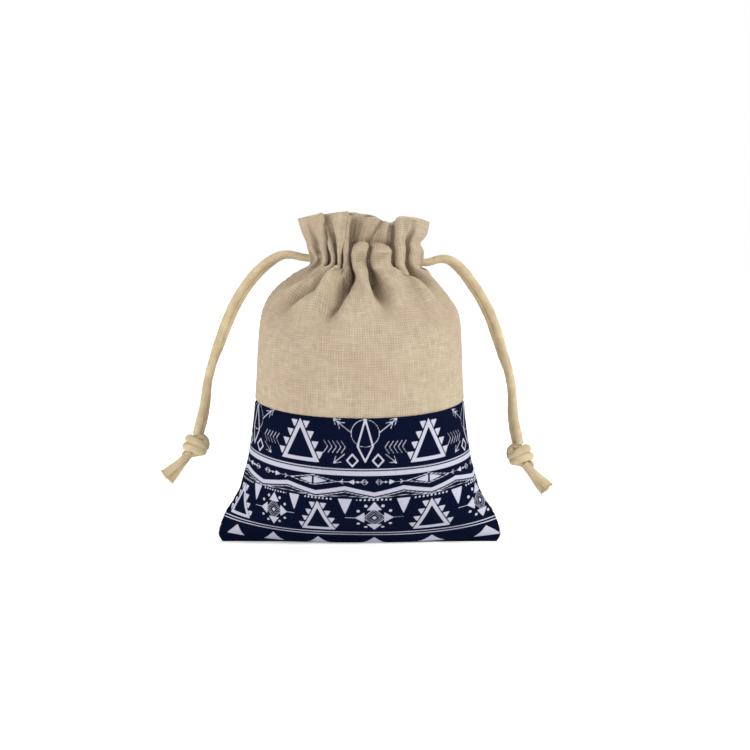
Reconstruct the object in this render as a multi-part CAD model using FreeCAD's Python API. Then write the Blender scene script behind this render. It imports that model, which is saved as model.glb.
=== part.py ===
import FreeCAD, Part
import math
import os

# A small drawstring gift sack of linen with a printed cotton foot, standing filled and tied shut.
# Frame: origin at the bottom centre of the sack, +X to its right, front at -Y, +Z up. Millimetres.

# ---- driving dimensions ----
WAIST_Z = 45.0            # seam between the printed foot and the linen
CASING_BOTTOM_Z = 95.0    # lower stitch row of the cord casing
CASING_TOP_Z = 102.0      # upper stitch row
MOUTH_Z = 116.4           # folded edge of the ruffle
CLOTH = 0.9               # one layer of cloth with its weave
HEM = 1.8                 # two layers, where the edge is turned in
THREAD_D = 0.7            # a row of stitches
NECK_SHIFT = 2.0          # the gathered neck stands a little to the right

CORD_D = 2.6
CORD_GAP = 2.8            # centre to centre, where two strands lie together
LEFT_CORD_Z = 100.0       # the two cords pass through the casing one above the other
RIGHT_CORD_Z = 97.1

# The gathered casing is a band between two arcs, front and back alike.
CASING_R = 33.0           # arc that the cords follow
CASING_CENTRE_Y = 24.0    # distance of the arc's centre behind the neck
CASING_HALF = 19.0        # half the length of the band, across the neck
CHANNEL_WIDTH = 3.4       # room for the cord, across
CHANNEL_END = 0.5         # cloth above and below the channel

# Outer sections of the sack: height, half width, half depth, shift to the right
FOOT_SECTIONS = (
    (0.0, 49.0, 9.0, 0.0),
    (3.5, 49.7, 11.0, 0.0),
    (10.0, 46.9, 15.5, 0.0),
    (20.0, 41.6, 22.5, 0.0),
    (31.0, 38.9, 26.0, 0.0),
    (WAIST_Z, 37.2, 27.5, 0.0),
)
SHOULDER_SECTIONS = (
    (WAIST_Z, 37.2, 27.5, 0.0),
    (60.0, 36.2, 28.0, 0.0),
    (73.0, 35.6, 26.6, 0.1),
    (81.0, 34.8, 24.0, 0.4),
    (87.0, 31.8, 19.6, 0.9),
    (91.5, 26.8, 15.0, 1.5),
    (CASING_BOTTOM_Z + 0.4, 22.2, 11.6, NECK_SHIFT),
)
RUFFLE_SECTIONS = (
    (CASING_TOP_Z - 0.4, 19.8, 11.8, NECK_SHIFT),
    (107.5, 21.6, 13.4, NECK_SHIFT),
    (112.0, 22.5, 14.9, NECK_SHIFT),
    (MOUTH_Z, 22.9, 15.6, NECK_SHIFT),
)

# Free cords, drawn by hand from the casing to the knot. Two strands of each cord hang together,
# side by side at the exit and half turned about each other lower down.
LEFT_FRONT_ROUTE = (
    (-22.0, -1.4, 100.0), (-25.8, -1.4, 100.0), (-30.0, -1.4, 99.1), (-34.9, -1.2, 96.1),
    (-39.5, -1.2, 91.1), (-43.7, -1.1, 84.6), (-47.0, -1.2, 77.3), (-49.6, -1.3, 69.7),
    (-51.8, -1.4, 62.5), (-53.6, -1.4, 55.3), (-54.3, -1.4, 48.0), (-55.6, -1.4, 41.0),
    (-56.4, -1.3, 37.4),
)
LEFT_BACK_ROUTE = (
    (-22.0, 1.4, 100.0), (-25.8, 1.4, 100.0), (-29.6, 1.4, 98.7), (-33.9, 1.3, 95.1),
    (-38.3, 1.2, 90.1), (-42.3, 1.1, 83.8), (-45.6, 1.1, 76.7), (-48.4, 1.3, 69.3),
    (-51.4, 1.4, 62.5), (-53.2, 1.4, 55.3), (-53.9, 1.4, 48.0), (-55.6, 1.4, 41.0),
    (-56.6, 1.3, 37.4),
)
RIGHT_FRONT_ROUTE = (
    (26.0, -1.4, 97.1), (29.4, -1.4, 97.1), (33.4, -1.4, 96.0), (38.0, -1.3, 92.8),
    (42.4, -1.2, 87.2), (46.2, -1.2, 80.2), (48.7, -1.2, 73.0), (50.6, -1.3, 65.7),
    (52.8, -1.4, 58.5), (53.7, -1.4, 51.2), (53.9, -1.4, 44.0), (54.8, -1.4, 37.6),
    (55.3, -1.3, 34.1),
)
RIGHT_BACK_ROUTE = (
    (26.0, 1.4, 97.1), (29.4, 1.4, 97.1), (33.2, 1.4, 95.6), (37.0, 1.3, 91.8),
    (41.2, 1.2, 86.2), (44.8, 1.1, 79.4), (47.3, 1.1, 72.2), (49.6, 1.3, 65.3),
    (52.4, 1.4, 58.5), (53.3, 1.4, 51.2), (53.5, 1.4, 44.0), (54.8, 1.4, 37.6),
    (55.5, 1.3, 34.1),
)

# Cut ends below the knots
LEFT_TAILS = (
    ((-59.4, -1.5, 31.3), (-62.6, -1.6, 28.6), (-65.7, -1.7, 26.7), (-68.4, -1.5, 24.6)),
    ((-59.0, 1.5, 30.6), (-61.9, 1.5, 27.2), (-64.1, 1.3, 24.0), (-66.4, 1.2, 21.4)),
)
RIGHT_TAILS = (
    ((57.8, -1.5, 27.3), (61.0, -1.6, 24.6), (63.9, -1.7, 22.6), (66.5, -1.5, 20.3)),
    ((57.4, 1.5, 26.9), (60.3, 1.5, 23.4), (62.3, 1.3, 20.2), (64.6, 1.2, 17.4)),
)

KNOT_HEIGHT = 8.6
KNOT_NECK_R = 2.9         # where the strands go in and the tails come out
KNOT_WRAP_R = 1.45        # the wraps stand out round the middle
KNOT_CORE_R = 2.85
KNOT_WRAPS = 3
KNOT_END = 0.3            # core that shows above the first wrap and below the last

SEAM_START = 5.0          # the bottom stitches stop this far from the corners
WAIST_TRIM = 3.0          # the waist stitches stop this far from the sides

UP = FreeCAD.Vector(0, 0, 1)


def vector(x, y, z):
    return FreeCAD.Vector(x, y, z)


# ---- cloth: each section is a lens of two arcs that meet in creases at the sides ----
def lens_arc(half_width, half_depth, inset):
    """Radius and centre distance of one side of a lens, after an inset of the cloth."""
    radius = (half_width ** 2 + half_depth ** 2) / (2 * half_depth)
    centre = radius - half_depth
    radius_in = radius - inset
    return radius_in, centre, math.sqrt(radius_in ** 2 - centre ** 2)


def side_arc(section, inset, side):
    """Arc along the front (side -1) or the back (side 1) of a section."""
    z, half_width, half_depth, shift = section
    radius, centre, reach = lens_arc(half_width, half_depth, inset)
    start = vector(shift - reach, 0, z)
    middle = vector(shift, side * (radius - centre), z)
    end = vector(shift + reach, 0, z)
    return start, end, Part.Arc(start, middle, end).toShape()


def half_wire(section, inset, side):
    start, end, arc = side_arc(section, inset, side)
    return Part.Wire([arc, Part.makeLine(end, start)])


def lens_wire(section, inset):
    front = side_arc(section, inset, -1)[2]
    back = side_arc(section, inset, 1)[2]
    return Part.Wire([front, back])


def cloth_half(sections, inset, side, floor=0.0):
    """Half of a cloth tube, with a floor of the given thickness at its lower end."""
    outer = Part.makeLoft([half_wire(s, 0.0, side) for s in sections], True, False)
    hollow = [lens_wire(s, inset) for s in sections]
    if floor:
        z, half_width, half_depth, shift = sections[0]
        hollow[0] = lens_wire((floor, half_width, half_depth, shift), inset)
    inner = Part.makeLoft(hollow, True, False)
    return outer.cut(inner)


def arc_band(radius_in, radius_out, z_low, z_high, side):
    """Part of a ring round the casing's centre, cut square at both ends of the casing."""
    centre = vector(NECK_SHIFT, -side * CASING_CENTRE_Y, z_low)
    height = z_high - z_low
    ring = Part.makeCylinder(radius_out, height, centre, UP)
    ring = ring.cut(Part.makeCylinder(radius_in, height, centre, UP))
    depth = radius_out - CASING_CENTRE_Y + 1
    near = -depth if side < 0 else 0.0
    corner = vector(NECK_SHIFT - CASING_HALF, near, z_low)
    return ring.common(Part.makeBox(2 * CASING_HALF, depth, height, corner))


def casing(side):
    """The gathered channel that holds the cords, open at both ends."""
    half = CHANNEL_WIDTH / 2
    outer = arc_band(CASING_R - half - CLOTH, CASING_R + half + CLOTH,
                     CASING_BOTTOM_Z, CASING_TOP_Z, side)
    channel = arc_band(CASING_R - half, CASING_R + half,
                       CASING_BOTTOM_Z + CHANNEL_END, CASING_TOP_Z - CHANNEL_END, side)
    return outer.cut(channel)


def linen_panel(side):
    """Shoulder, casing and ruffle of one side: one piece of linen, its top edge turned in."""
    shoulder = cloth_half(SHOULDER_SECTIONS, CLOTH, side)
    ruffle = cloth_half(RUFFLE_SECTIONS, HEM, side)
    return casing(side).fuse([shoulder, ruffle]).removeSplitter()


def print_panel(side):
    return cloth_half(FOOT_SECTIONS, CLOTH, side, floor=CLOTH)


# ---- cords and threads: straight runs joined by tangent arcs ----
def rounded_path(points, label=""):
    """Wire through the points with the largest arcs that the runs allow."""
    corners = [vector(*p) for p in points]
    edges = []
    radii = []
    last = corners[0]
    for before, corner, after in zip(corners, corners[1:], corners[2:]):
        back = (before - corner).normalize()
        ahead = (after - corner).normalize()
        turn = math.pi - back.getAngle(ahead)
        reach = 0.45 * min((before - corner).Length, (after - corner).Length)
        radius = reach / math.tan(turn / 2)
        start = corner + back * reach
        end = corner + ahead * reach
        middle_way = (back + ahead).normalize()
        middle = corner + middle_way * (radius / math.cos(turn / 2) - radius)
        edges.append(Part.makeLine(last, start))
        edges.append(Part.Arc(start, middle, end).toShape())
        radii.append(radius)
        last = end
    edges.append(Part.makeLine(last, corners[-1]))
    if label:
        print(label, "radii", [round(r, 1) for r in radii])
    return Part.Wire(edges)


def tube(path, diameter, label=""):
    start = path.OrderedEdges[0]
    point = start.valueAt(start.FirstParameter)
    direction = start.tangentAt(start.FirstParameter)
    ring = Part.Wire([Part.makeCircle(diameter / 2, point, direction)])
    solid = path.makePipeShell([ring], True, True)
    if label:
        expected = math.pi * diameter ** 2 / 4 * path.Length
        print(label, "length", round(path.Length, 1), "volume ratio", round(solid.Volume / expected, 4))
    return solid


def cord_stretch(points, label):
    return tube(rounded_path(points, label), CORD_D, label)


def planar_arc(centre, radius, angle_from, angle_to):
    """Arc in a level plane, angles in radians from +X."""
    def at(angle):
        return centre + vector(math.cos(angle), math.sin(angle), 0) * radius
    return Part.Arc(at(angle_from), at((angle_from + angle_to) / 2), at(angle_to)).toShape()


def cord_loop(level, exit_x, label):
    """One cord inside both casings: out at exit_x in two strands, round the far end in one bend."""
    direction = 1 if exit_x > NECK_SHIFT else -1
    lean = math.asin(CASING_HALF / CASING_R)
    end_y = CASING_R * math.cos(lean) - CASING_CENTRE_Y
    slip = end_y - CORD_GAP / 2
    exit_r = slip / (1 - math.cos(lean))
    bridge_r = end_y / math.cos(lean)

    def place(x, y):
        return vector(NECK_SHIFT + direction * x, y, level)

    def arc(x, y, radius, start, end):
        angles = (start, (start + end) / 2, end)
        points = [place(x + radius * math.cos(t), y + radius * math.sin(t)) for t in angles]
        return Part.Arc(*points).toShape()

    quarter = math.pi / 2
    exit_run = exit_r * math.sin(lean)
    exit_end = CASING_HALF + exit_run
    straight = abs(exit_x - NECK_SHIFT) - exit_end
    edges = [
        Part.makeLine(place(exit_end + straight, -CORD_GAP / 2), place(exit_end, -CORD_GAP / 2)),
        arc(exit_end, -CORD_GAP / 2 - exit_r, exit_r, quarter, quarter + lean),
        arc(0, CASING_CENTRE_Y, CASING_R, -quarter + lean, -quarter - lean),
        arc(-CASING_HALF + bridge_r * math.sin(lean), 0, bridge_r,
            -quarter - lean, -3 * quarter + lean),
        arc(0, -CASING_CENTRE_Y, CASING_R, quarter + lean, quarter - lean),
        arc(exit_end, CORD_GAP / 2 + exit_r, exit_r, -quarter - lean, -quarter),
        Part.makeLine(place(exit_end, CORD_GAP / 2), place(exit_end + straight, CORD_GAP / 2)),
    ]
    return tube(Part.Wire(edges), CORD_D, label)


def knot(route):
    """Overhand knot in both strands: a barrel with three wraps, in line with the strands."""
    top = vector(route[-1][0], 0, route[-1][2])
    axis = vector(route[-1][0] - route[-2][0], 0, route[-1][2] - route[-2][2]).normalize()
    pitch = (KNOT_HEIGHT - 2 * KNOT_END) / KNOT_WRAPS
    barrel = Part.makeCylinder(KNOT_CORE_R, KNOT_HEIGHT, top, axis)
    for turn in range(KNOT_WRAPS):
        ring_centre = top + axis * (KNOT_END + pitch * (turn + 0.5))
        barrel = barrel.fuse(Part.makeTorus(KNOT_NECK_R, KNOT_WRAP_R, ring_centre, axis))
    return barrel


def stitch_arc(section, inset, side, trim):
    """Row of stitches along one side of a section, kept clear of the side creases."""
    z, half_width, half_depth, shift = section
    radius, centre, reach = lens_arc(half_width, half_depth, inset)
    angle = math.asin((reach - trim) / radius)
    middle = vector(shift, -side * centre, z)
    quarter = side * math.pi / 2
    return tube(Part.Wire([planar_arc(middle, radius, quarter - angle, quarter + angle)]), THREAD_D)


def casing_stitching(side):
    """Two rows that close the casing above and below the cords."""
    radius = CASING_R + CHANNEL_WIDTH / 2 + CLOTH
    centre_y = -side * CASING_CENTRE_Y
    angle = math.asin((CASING_HALF - 1) / radius)
    quarter = side * math.pi / 2
    rows = []
    for z in (CASING_BOTTOM_Z + THREAD_D, CASING_TOP_Z - THREAD_D):
        middle = vector(NECK_SHIFT, centre_y, z)
        row = Part.Wire([planar_arc(middle, radius, quarter - angle, quarter + angle)])
        rows.append(tube(row, THREAD_D))
    return Part.makeCompound(rows)


def side_stitching(side):
    """Thread that closes one side crease, from the foot to the lower row of the casing."""
    sections = FOOT_SECTIONS[1:] + SHOULDER_SECTIONS[1:-1]
    points = []
    for z, half_width, half_depth, shift in sections:
        reach = lens_arc(half_width, half_depth, CLOTH / 2)[2]
        points.append((shift + side * reach, 0.0, z))
    return tube(rounded_path(points), THREAD_D)


def bottom_stitching():
    z, half_width, half_depth, shift = FOOT_SECTIONS[0]
    reach = half_width - SEAM_START
    return Part.makeCylinder(THREAD_D / 2, 2 * reach, vector(-reach, 0, CLOTH / 2), vector(1, 0, 0))


def waist_stitching(side):
    return stitch_arc(SHOULDER_SECTIONS[0], CLOTH, side, WAIST_TRIM)


def build():
    nodes = {
        "front_linen_panel": linen_panel(-1),
        "back_linen_panel": linen_panel(1),
        "front_print_panel": print_panel(-1),
        "back_print_panel": print_panel(1),
        "front_waist_stitching": waist_stitching(-1),
        "back_waist_stitching": waist_stitching(1),
        "left_side_stitching": side_stitching(-1),
        "right_side_stitching": side_stitching(1),
        "bottom_stitching": bottom_stitching(),
        "front_casing_stitching": casing_stitching(-1),
        "back_casing_stitching": casing_stitching(1),
    }
    cords = (
        ("left", LEFT_CORD_Z, LEFT_FRONT_ROUTE, LEFT_BACK_ROUTE, LEFT_TAILS),
        ("right", RIGHT_CORD_Z, RIGHT_FRONT_ROUTE, RIGHT_BACK_ROUTE, RIGHT_TAILS),
    )
    for name, level, front_route, back_route, tails in cords:
        nodes[name + "_cord_loop"] = cord_loop(level, front_route[0][0], name + "_cord_loop")
        nodes[name + "_front_strand"] = cord_stretch(front_route, name + "_front_strand")
        nodes[name + "_back_strand"] = cord_stretch(back_route, name + "_back_strand")
        nodes[name + "_knot"] = knot(front_route)
        nodes[name + "_front_tail"] = cord_stretch(tails[0], name + "_front_tail")
        nodes[name + "_back_tail"] = cord_stretch(tails[1], name + "_back_tail")
    return nodes


os.makedirs("parts", exist_ok=True)
for node, shape in build().items():
    print(node, "valid", shape.isValid(), "solids", len(shape.Solids), "volume", round(shape.Volume, 1))
    shape.exportStep("parts/" + node + ".step")
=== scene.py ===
"""Looks of a small drawstring gift sack: gathered linen over a printed cotton foot, with two knotted cords.

Lengths are millimetres until a mesh is made; the frame and every Blender object are in metres.
The cloth is drawn up and filled by a small position-based cloth solver, and its folds are then shaped by
formula. Every piece stands for one CAD node; all but the cord strands and the loops in the casing move with
that node's body.
"""

import math

import bpy
import numpy as np
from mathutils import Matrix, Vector


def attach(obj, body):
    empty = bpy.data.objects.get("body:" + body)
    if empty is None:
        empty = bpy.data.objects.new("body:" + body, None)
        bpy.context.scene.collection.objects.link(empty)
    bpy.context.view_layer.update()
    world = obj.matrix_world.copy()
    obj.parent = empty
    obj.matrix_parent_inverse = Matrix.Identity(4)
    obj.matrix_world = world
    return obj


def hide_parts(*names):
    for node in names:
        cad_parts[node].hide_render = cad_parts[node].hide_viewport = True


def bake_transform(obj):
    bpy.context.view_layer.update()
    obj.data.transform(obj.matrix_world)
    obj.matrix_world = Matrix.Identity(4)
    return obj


MM = 0.001
FACES = ("front", "back")
HANDS = ("left", "right")
rng = np.random.default_rng(7)

# ---- the flat pattern: one panel is WIDTH wide, V runs up from the bottom seam ----
WIDTH = 100.0
WAIST_V = 57.0            # print is sewn to linen
SLIT_V = 115.0            # side seams end here, so that the cords can come out
SIDE_STITCH_END_V = 111.0  # the side seams' stitches stop a little lower
CORD_V = 118.0            # middle of the cord casing
CASING_TOP_V = 124.0
TOP_V = 136.0             # folded edge of the ruffle
HEM_V = 111.0             # raw edge of the turned-in hem, inside
COLS = 101                # columns of the coarse cloth
BODY_STEP = 1.5           # its rows: further apart on the body than at the gathers
GATHER_STEP = 1.0
GATHER_V = 90.0
ROWS_V = np.concatenate([np.arange(0, GATHER_V, BODY_STEP), np.arange(GATHER_V, TOP_V + 0.5, GATHER_STEP)])

# ---- the filled sack: height, half width, half depth, shift to the right ----
BODY = np.array((
    (0.0, 48.0, 6.0, 0.0), (1.2, 49.5, 7.6, 0.0), (3.5, 49.7, 9.5, 0.0), (10.0, 46.9, 15.5, 0.0),
    (20.0, 41.6, 22.5, 0.0), (31.0, 38.9, 26.0, 0.0), (45.0, 37.2, 27.5, 0.0), (60.0, 36.2, 28.0, 0.0),
    (73.0, 35.6, 26.6, 0.1), (81.0, 34.9, 24.0, 0.2), (87.0, 32.2, 19.6, 0.3), (91.5, 28.4, 15.2, 0.4),
    (95.4, 24.2, 12.0, 1.2), (99.0, 20.0, 11.5, 2.6),
))
# The filling keeps the cloth out; it is smaller at the ears and under the gathers.
FILLING = np.array((
    (0.0, 37.0, 6.5, 0.0), (3.5, 40.0, 9.5, 0.0), (10.0, 41.0, 14.6, 0.0), (20.0, 39.8, 22.0, 0.0),
    (31.0, 38.0, 25.6, 0.0), (45.0, 36.6, 27.1, 0.0), (60.0, 35.7, 27.6, 0.0), (73.0, 34.6, 25.9, 0.1),
    (81.0, 32.0, 22.0, 0.4), (87.0, 27.0, 16.0, 0.9), (91.5, 20.0, 8.0, 1.5), (94.0, 12.0, 2.0, 2.0),
))
OUTWARD = (-1, 1)         # the y direction out of the sack, front and back
WAIST_LIFT = 1.4          # rows halfway up sit this much higher than an even spread would put them
CREASE_POWER = 2.5        # rows are level in the middle and bend only near the side seams
GATHER_START_V = 88.0     # from here up the body narrows to the neck
GATHER_POWER = (3.6, 1.9, 1.6)  # how late it does so at the left, the middle and the right
NECK_X = 2.6              # middle of the drawn neck
NECK_Z = 99.0
NECK_A = 19.6             # half width and half depth of the drawn neck
NECK_B = 12.0
SLIT_Y = 2.2              # front and back stand this far from the middle where the cords come out
FLARE_V = 119.5           # the ruffle opens from here up
FLARE_POWER = 0.95
RUFFLE_RISE = 0.97        # height of the ruffle for each millimetre of its cloth
LEAST_Y = 0.5             # front and back keep this far from the middle plane

# ---- the cloth solver ----
SETTLE_STEPS = 150
PASSES = 3                # of pulling the threads to length, in each step
FILL_PUSH = 0.004         # the filling's push in one step
WEIGHT = 0.001            # how far the cloth drops in one step
KEPT_SPEED = 0.85         # share of the last step's motion that goes on
MOST_SPEED = 0.5
STRETCH = 0.9             # firmness of the threads, the diagonals and the bending links
SHEAR = 0.1
BODY_BEND = 0.15
GATHER_BEND = 0.6
CREASE_HOLD = 0.05        # side creases go back to their drawn place by this share
# How far each row goes back to its drawn place after a pass: flat heights, and the shares there
HOLD_V = (0, 8, 14, 112, 116.5, 117.5, 118.5, 120, 124, 130, 136)
HOLD = (0.3, 0.25, 0.0, 0.0, 0.10, 0.6, 0.6, 0.12, 0.08, 0.12, 0.3)
LIP_HOLD = 0.25           # rows round LIP_HOLD_V keep their place sideways at the tufts
LIP_HOLD_V = 123.5

# ---- ruffle and folds ----
# Height of the ruffle's folded edge against the mean: place along the edge, millimetres; front, then back
RUFFLE_TOP = (
    ((0, -4.0), (7, -3.0), (14, -1.7), (19, -1.9), (24, -2.5), (30, -1.8), (36, -1.3), (41, -2.2),
     (46.5, -3.0), (52, -2.4), (57, -2.2), (60.5, -2.9), (64, -3.6), (68, -3.5), (70, -3.8), (74, -5.3),
     (78, -5.6), (82, -3.6), (85, -3.0), (88, -3.4), (94, -4.2), (100, -5.2)),
    ((0, -4.0), (15, -2.6), (30, -1.6), (47, -1.7), (60, -2.8), (70, -5.4), (75, -5.6), (82, -3.6),
     (100, -5.2)),
)
# Long folds of the shoulder: column at the cord, column and height where it ends, depth, width at the top
# and below; a negative depth makes a ridge
FRONT_FOLDS = (
    (49, 31, 86, 10.0, 3.2, 6.6), (27, 11, 91, 8.6, 2.8, 4.6), (62, 60.5, 92, 7.0, 2.8, 3.8),
    (79, 92, 103, 5.0, 2.4, 3.2), (90, 94, 104, 3.0, 3.2, 3.6), (13, 5, 100, 3.0, 2.4, 3.6),
    (71, 78, 90, 1.6, 2.0, 3.0), (39, 21, 90, -4.6, 4.0, 6.0), (55.5, 48, 85, -3.0, 4.0, 8.0),
    (20, 8, 95, -2.6, 3.0, 4.4), (74, 84, 97, -3.2, 3.6, 5.5), (66, 68, 88, -2.0, 4.0, 7.0),
)
BACK_FOLDS = (
    (21, 14, 92, 5.4, 2.8, 5.0), (32, 27, 97, 3.4, 2.2, 4.0), (44, 39, 89, 7.0, 2.8, 5.2),
    (58, 64, 88, 6.6, 2.8, 5.2), (69, 76, 95, 4.0, 2.4, 4.5), (82, 89, 94, 5.0, 2.8, 4.6),
    (38, 33, 86, -3.2, 4.2, 7.0), (51, 52, 84, -3.6, 4.6, 8.0), (76, 83, 92, -2.6, 4.0, 6.0),
)
FOLDS_TOP_V = CORD_V - 1.5
SEAM_CLEAR = 5.0          # folds fade out this close to a side seam, and this close to the cord
TUFTS = ((56, 5.5), (69.5, 6.0))  # gathered cloth hangs over the cord on the front: column, half width
BACK_TUFT = (51, 5.0, 0.5)        # column, half width and share on the back
LIP_IN = 3.4              # a tuft's cloth turns in this far above the cord
LIP_OUT = 1.3
LIP_SINK = 1.2
LIP_RISE = 7.1            # the turn starts this high over the middle of the cord
LIP_SHIFT = 2.4           # the ruffle behind the tufts leans left at its foot
# How far the turn has gone, by height over its start
LIP_TURN = ((0.0, 1.0, 2.0, 3.0, 4.0, 10.0, 14.0), (0.0, 0.25, 0.75, 1.0, 0.95, 0.35, 0.0))
LIP_FOOT_V = 121.0        # above this the ruffle's rows are lower over the tufts
LIP_DROP = 0.8
BULGE_V = 121.2           # the cords inside push the casing out here
PULLED_IN_V = 126.0       # the stitches above pull it in here
SIDE_PINCH = 1.5          # the right side is drawn in above the cord
SLIT_ROOM = 3.2           # half of the gap between front and back where the cords come out

# ---- cloth and cord ----
FINE = 0.5                # grid of the linen meshes
PRINT_FINE = 0.37
LINEN = 0.45
COTTON = 0.35
HEM_GAP = 0.6             # between the two layers of the hem
CASING_EASE = 1.2         # room left for a cord between them, past its own thickness
FOLD_ROWS = 3             # rows round the folded edge of the ruffle
SEAM_REACH = 1.3          # panels turn in this close to a seam
SEAM_DEPTH = 0.5
SLUB_WAVES = 14
SLUB_HEIGHT = 0.011
CORD_D = 2.6
CORD_REACH = 2.5          # the hem keeps clear of pleats this far on either side

BRAID_LOBES = 8           # yarns seen round the cord
BRAID_PICK = 1.05         # one plait along it
BRAID_RELIEF = 0.11
LINE_STEP = 0.2           # spacing of the rings along a cord
LOOP_STEP = 0.25
CASING_NEAR = 2.2         # the cord in the casing feels the cloth this far away
KNOT_R = 2.75
KNOT_PITCH = 2.35
KNOT_TURNS = 2.62
KNOT_SLANT = 0.4          # turns the slant of the wraps round the knot
WRAP_D = 2.9
TAIL_YARNS = 34           # loose yarns at a cut end, spread evenly over it
YARN_TURN = 2.4           # radians from one to the next
YARN_R = 0.19
TAIL_FLAT = 0.72          # cut ends are flatter than the cord
STITCH_SEGMENTS = 8
STITCH_GAP = 0.5
SEAM_STITCH = (1.9, 0.34)  # length and thickness
CASING_STITCH = (1.5, 0.3)
STITCH_RADII = np.array((0.35, 0.85, 1.0, 1.0, 1.0, 0.85, 0.35))
STITCH_PLACES = np.array((0.0, 0.06, 0.2, 0.5, 0.8, 0.94, 1.0))
LINEN_PITCH = 0.90
COTTON_PITCH = 0.3

# ---- colours, linear ----
LINEN_LIGHT = (0.525, 0.444, 0.334)
LINEN_DARK = (0.405, 0.33, 0.234)
LINEN_WARM = (0.42, 0.322, 0.235)
# painted shade: the dark colour put in the grooves and holes between the linen's threads
LINEN_SHADE_BETWEEN_THREADS = (0.175, 0.118, 0.078)
NAVY_DARK = (0.0012, 0.0028, 0.0145)
NAVY_LIGHT = (0.0028, 0.0060, 0.0230)
INK_WHITE = (0.52, 0.525, 0.64)
INK_SHADE = (0.43, 0.435, 0.54)
CORD_LIGHT = (0.62, 0.52, 0.345)
CORD_DARK = (0.48, 0.385, 0.24)
CORD_WARM = (0.51, 0.395, 0.25)
# painted shade between the cord's plaited yarns
CORD_SHADE_BETWEEN_PLAITS = (0.22, 0.16, 0.09)
# sewing threads: their colour runs between these along the twist, painted shade in its grooves and painted
# highlight on its ridges
LINEN_THREAD_DARK = (0.40, 0.32, 0.21)
LINEN_THREAD_LIGHT = (0.62, 0.52, 0.37)
NAVY_THREAD_DARK = (0.004, 0.007, 0.02)
NAVY_THREAD_LIGHT = (0.012, 0.02, 0.055)
FLOOR_GLOW = 0.3          # strength of the floor's own light

# ---- the print's repeats, from the middle of the front ----
KITE_V = 48.0
UPPER_START = 2.0
UPPER_PERIOD = 45.0
LOWER_START = 5.1
LOWER_PERIOD = 40.0
ARROW_START = 4.2
ARROW_V = 34.7
ZIGZAG_V = 31.2
DIAMOND_V = 20.0
PRINT_TILT = 0.012        # the print was cut a little off the square
PRINT_SHIFT = (0.0, 17.0)  # front and back were cut from different places
CROWDING = (0.022, 0.0)   # the lower row comes closer together on the front's left

# Ridges of the front at the cord, left to right: middle and half width, from the sack's middle
FRONT_PLEATS = (
    (-15.0, 0.7), (-12.0, 0.9), (-9.1, 0.6), (-6.9, 0.6), (-4.7, 0.9), (-0.2, 2.5), (7.2, 3.4),
    (14.1, 1.6), (19.4, 2.4),
)
BACK_PLEATS = (
    (-14.2, 1.3), (-9.4, 1.8), (-5.2, 0.8), (-2.2, 0.8), (2.8, 2.2), (7.6, 0.9), (11.2, 1.1),
    (15.6, 1.0), (19.6, 0.9),
)
# Folded edge of the ruffle seen from above: place along the flat edge, x, distance from the middle plane
FRONT_RUFFLE = (
    (0, -21.5, 1.2), (6, -17.6, 5.6), (12, -13.3, 9.0), (14, -12.2, 9.4), (16.5, -13.0, 7.2),
    (19, -14.2, 5.0), (20.5, -13.6, 3.8), (23, -12.0, 5.4), (26, -10.2, 7.8), (30, -7.6, 10.8),
    (35, -4.4, 14.2), (36.5, -3.4, 14.6), (40, -4.2, 11.2), (44, -4.6, 7.2), (46.5, -3.2, 5.2),
    (48.5, -1.4, 5.6), (52, 0.4, 8.6), (56, 2.2, 12.2), (58.5, 4.0, 13.9), (60.5, 5.9, 13.6),
    (63, 6.6, 11.3), (65, 6.9, 9.4), (67.5, 8.2, 11.4), (70, 10.0, 12.2), (72.5, 10.6, 9.8),
    (75.5, 10.9, 6.8), (77, 11.6, 5.6), (79, 12.3, 7.2), (82, 12.3, 10.2), (84.2, 13.4, 12.0),
    (86.2, 15.2, 11.4), (88, 16.6, 10.2), (90, 18.4, 10.6), (93, 21.0, 9.2), (97, 23.4, 5.4),
    (100, 24.6, 1.4),
)
BACK_RUFFLE = (
    (0, -21.5, 1.2), (6, -18.2, 5.9), (9, -15.7, 7.6), (12, -14.4, 6.0), (16, -12.2, 6.7),
    (20, -11.1, 10.5), (24, -8.0, 13.0), (27, -5.8, 12.4), (30, -5.2, 8.7), (34, -4.6, 5.8),
    (42, -2.3, 6.1), (47, -1.5, 11.1), (51, 0.2, 14.6), (54, 3.0, 15.0), (57, 4.6, 12.6),
    (60, 5.3, 9.7), (66, 7.2, 9.9), (69, 8.0, 12.8), (72, 10.7, 13.1), (75, 12.1, 10.5),
    (78, 12.6, 7.6), (84, 14.6, 7.3), (87, 15.9, 9.9), (90, 17.6, 9.0), (93, 20.0, 7.6),
    (96, 22.0, 5.0), (100, 24.5, 1.2),
)


# ---- lines and lenses ----
def lens_radius(half_width, half_depth):
    """Radius of a lens's arcs; a lens is what the sack looks like from above."""
    return (half_width ** 2 + half_depth ** 2) / (2 * half_depth)


def lens_y(x, centre_x, half_width, half_depth):
    """Distance from the middle plane to the arc of a lens."""
    radius = lens_radius(half_width, half_depth)
    rest = np.maximum(radius ** 2 - (x - centre_x) ** 2, 0)
    return np.sqrt(rest) - (radius - half_depth)


def lens_points(half_width, half_depth, shift, count):
    """Points at equal steps of arc along one side of a lens: x and distance from the middle plane."""
    radius = lens_radius(half_width, half_depth)
    reach = math.asin(min(half_width / radius, 1.0))
    angle = np.linspace(-reach, reach, count)
    return shift + radius * np.sin(angle), radius * np.cos(angle) - (radius - half_depth)


def section_at(table, z):
    """Half width, half depth and shift of the sack at a height."""
    return [np.interp(z, table[:, 0], table[:, i]) for i in (1, 2, 3)]


def distances(line):
    """How far along a line each of its points is."""
    steps = np.linalg.norm(np.diff(line, axis=0), axis=1)
    return np.concatenate([[0], np.cumsum(steps)])


def line_at(line, along, wanted):
    """Points of a line at the wanted distances along it."""
    return np.stack([np.interp(wanted, along, line[:, i]) for i in range(line.shape[1])], 1)


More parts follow.
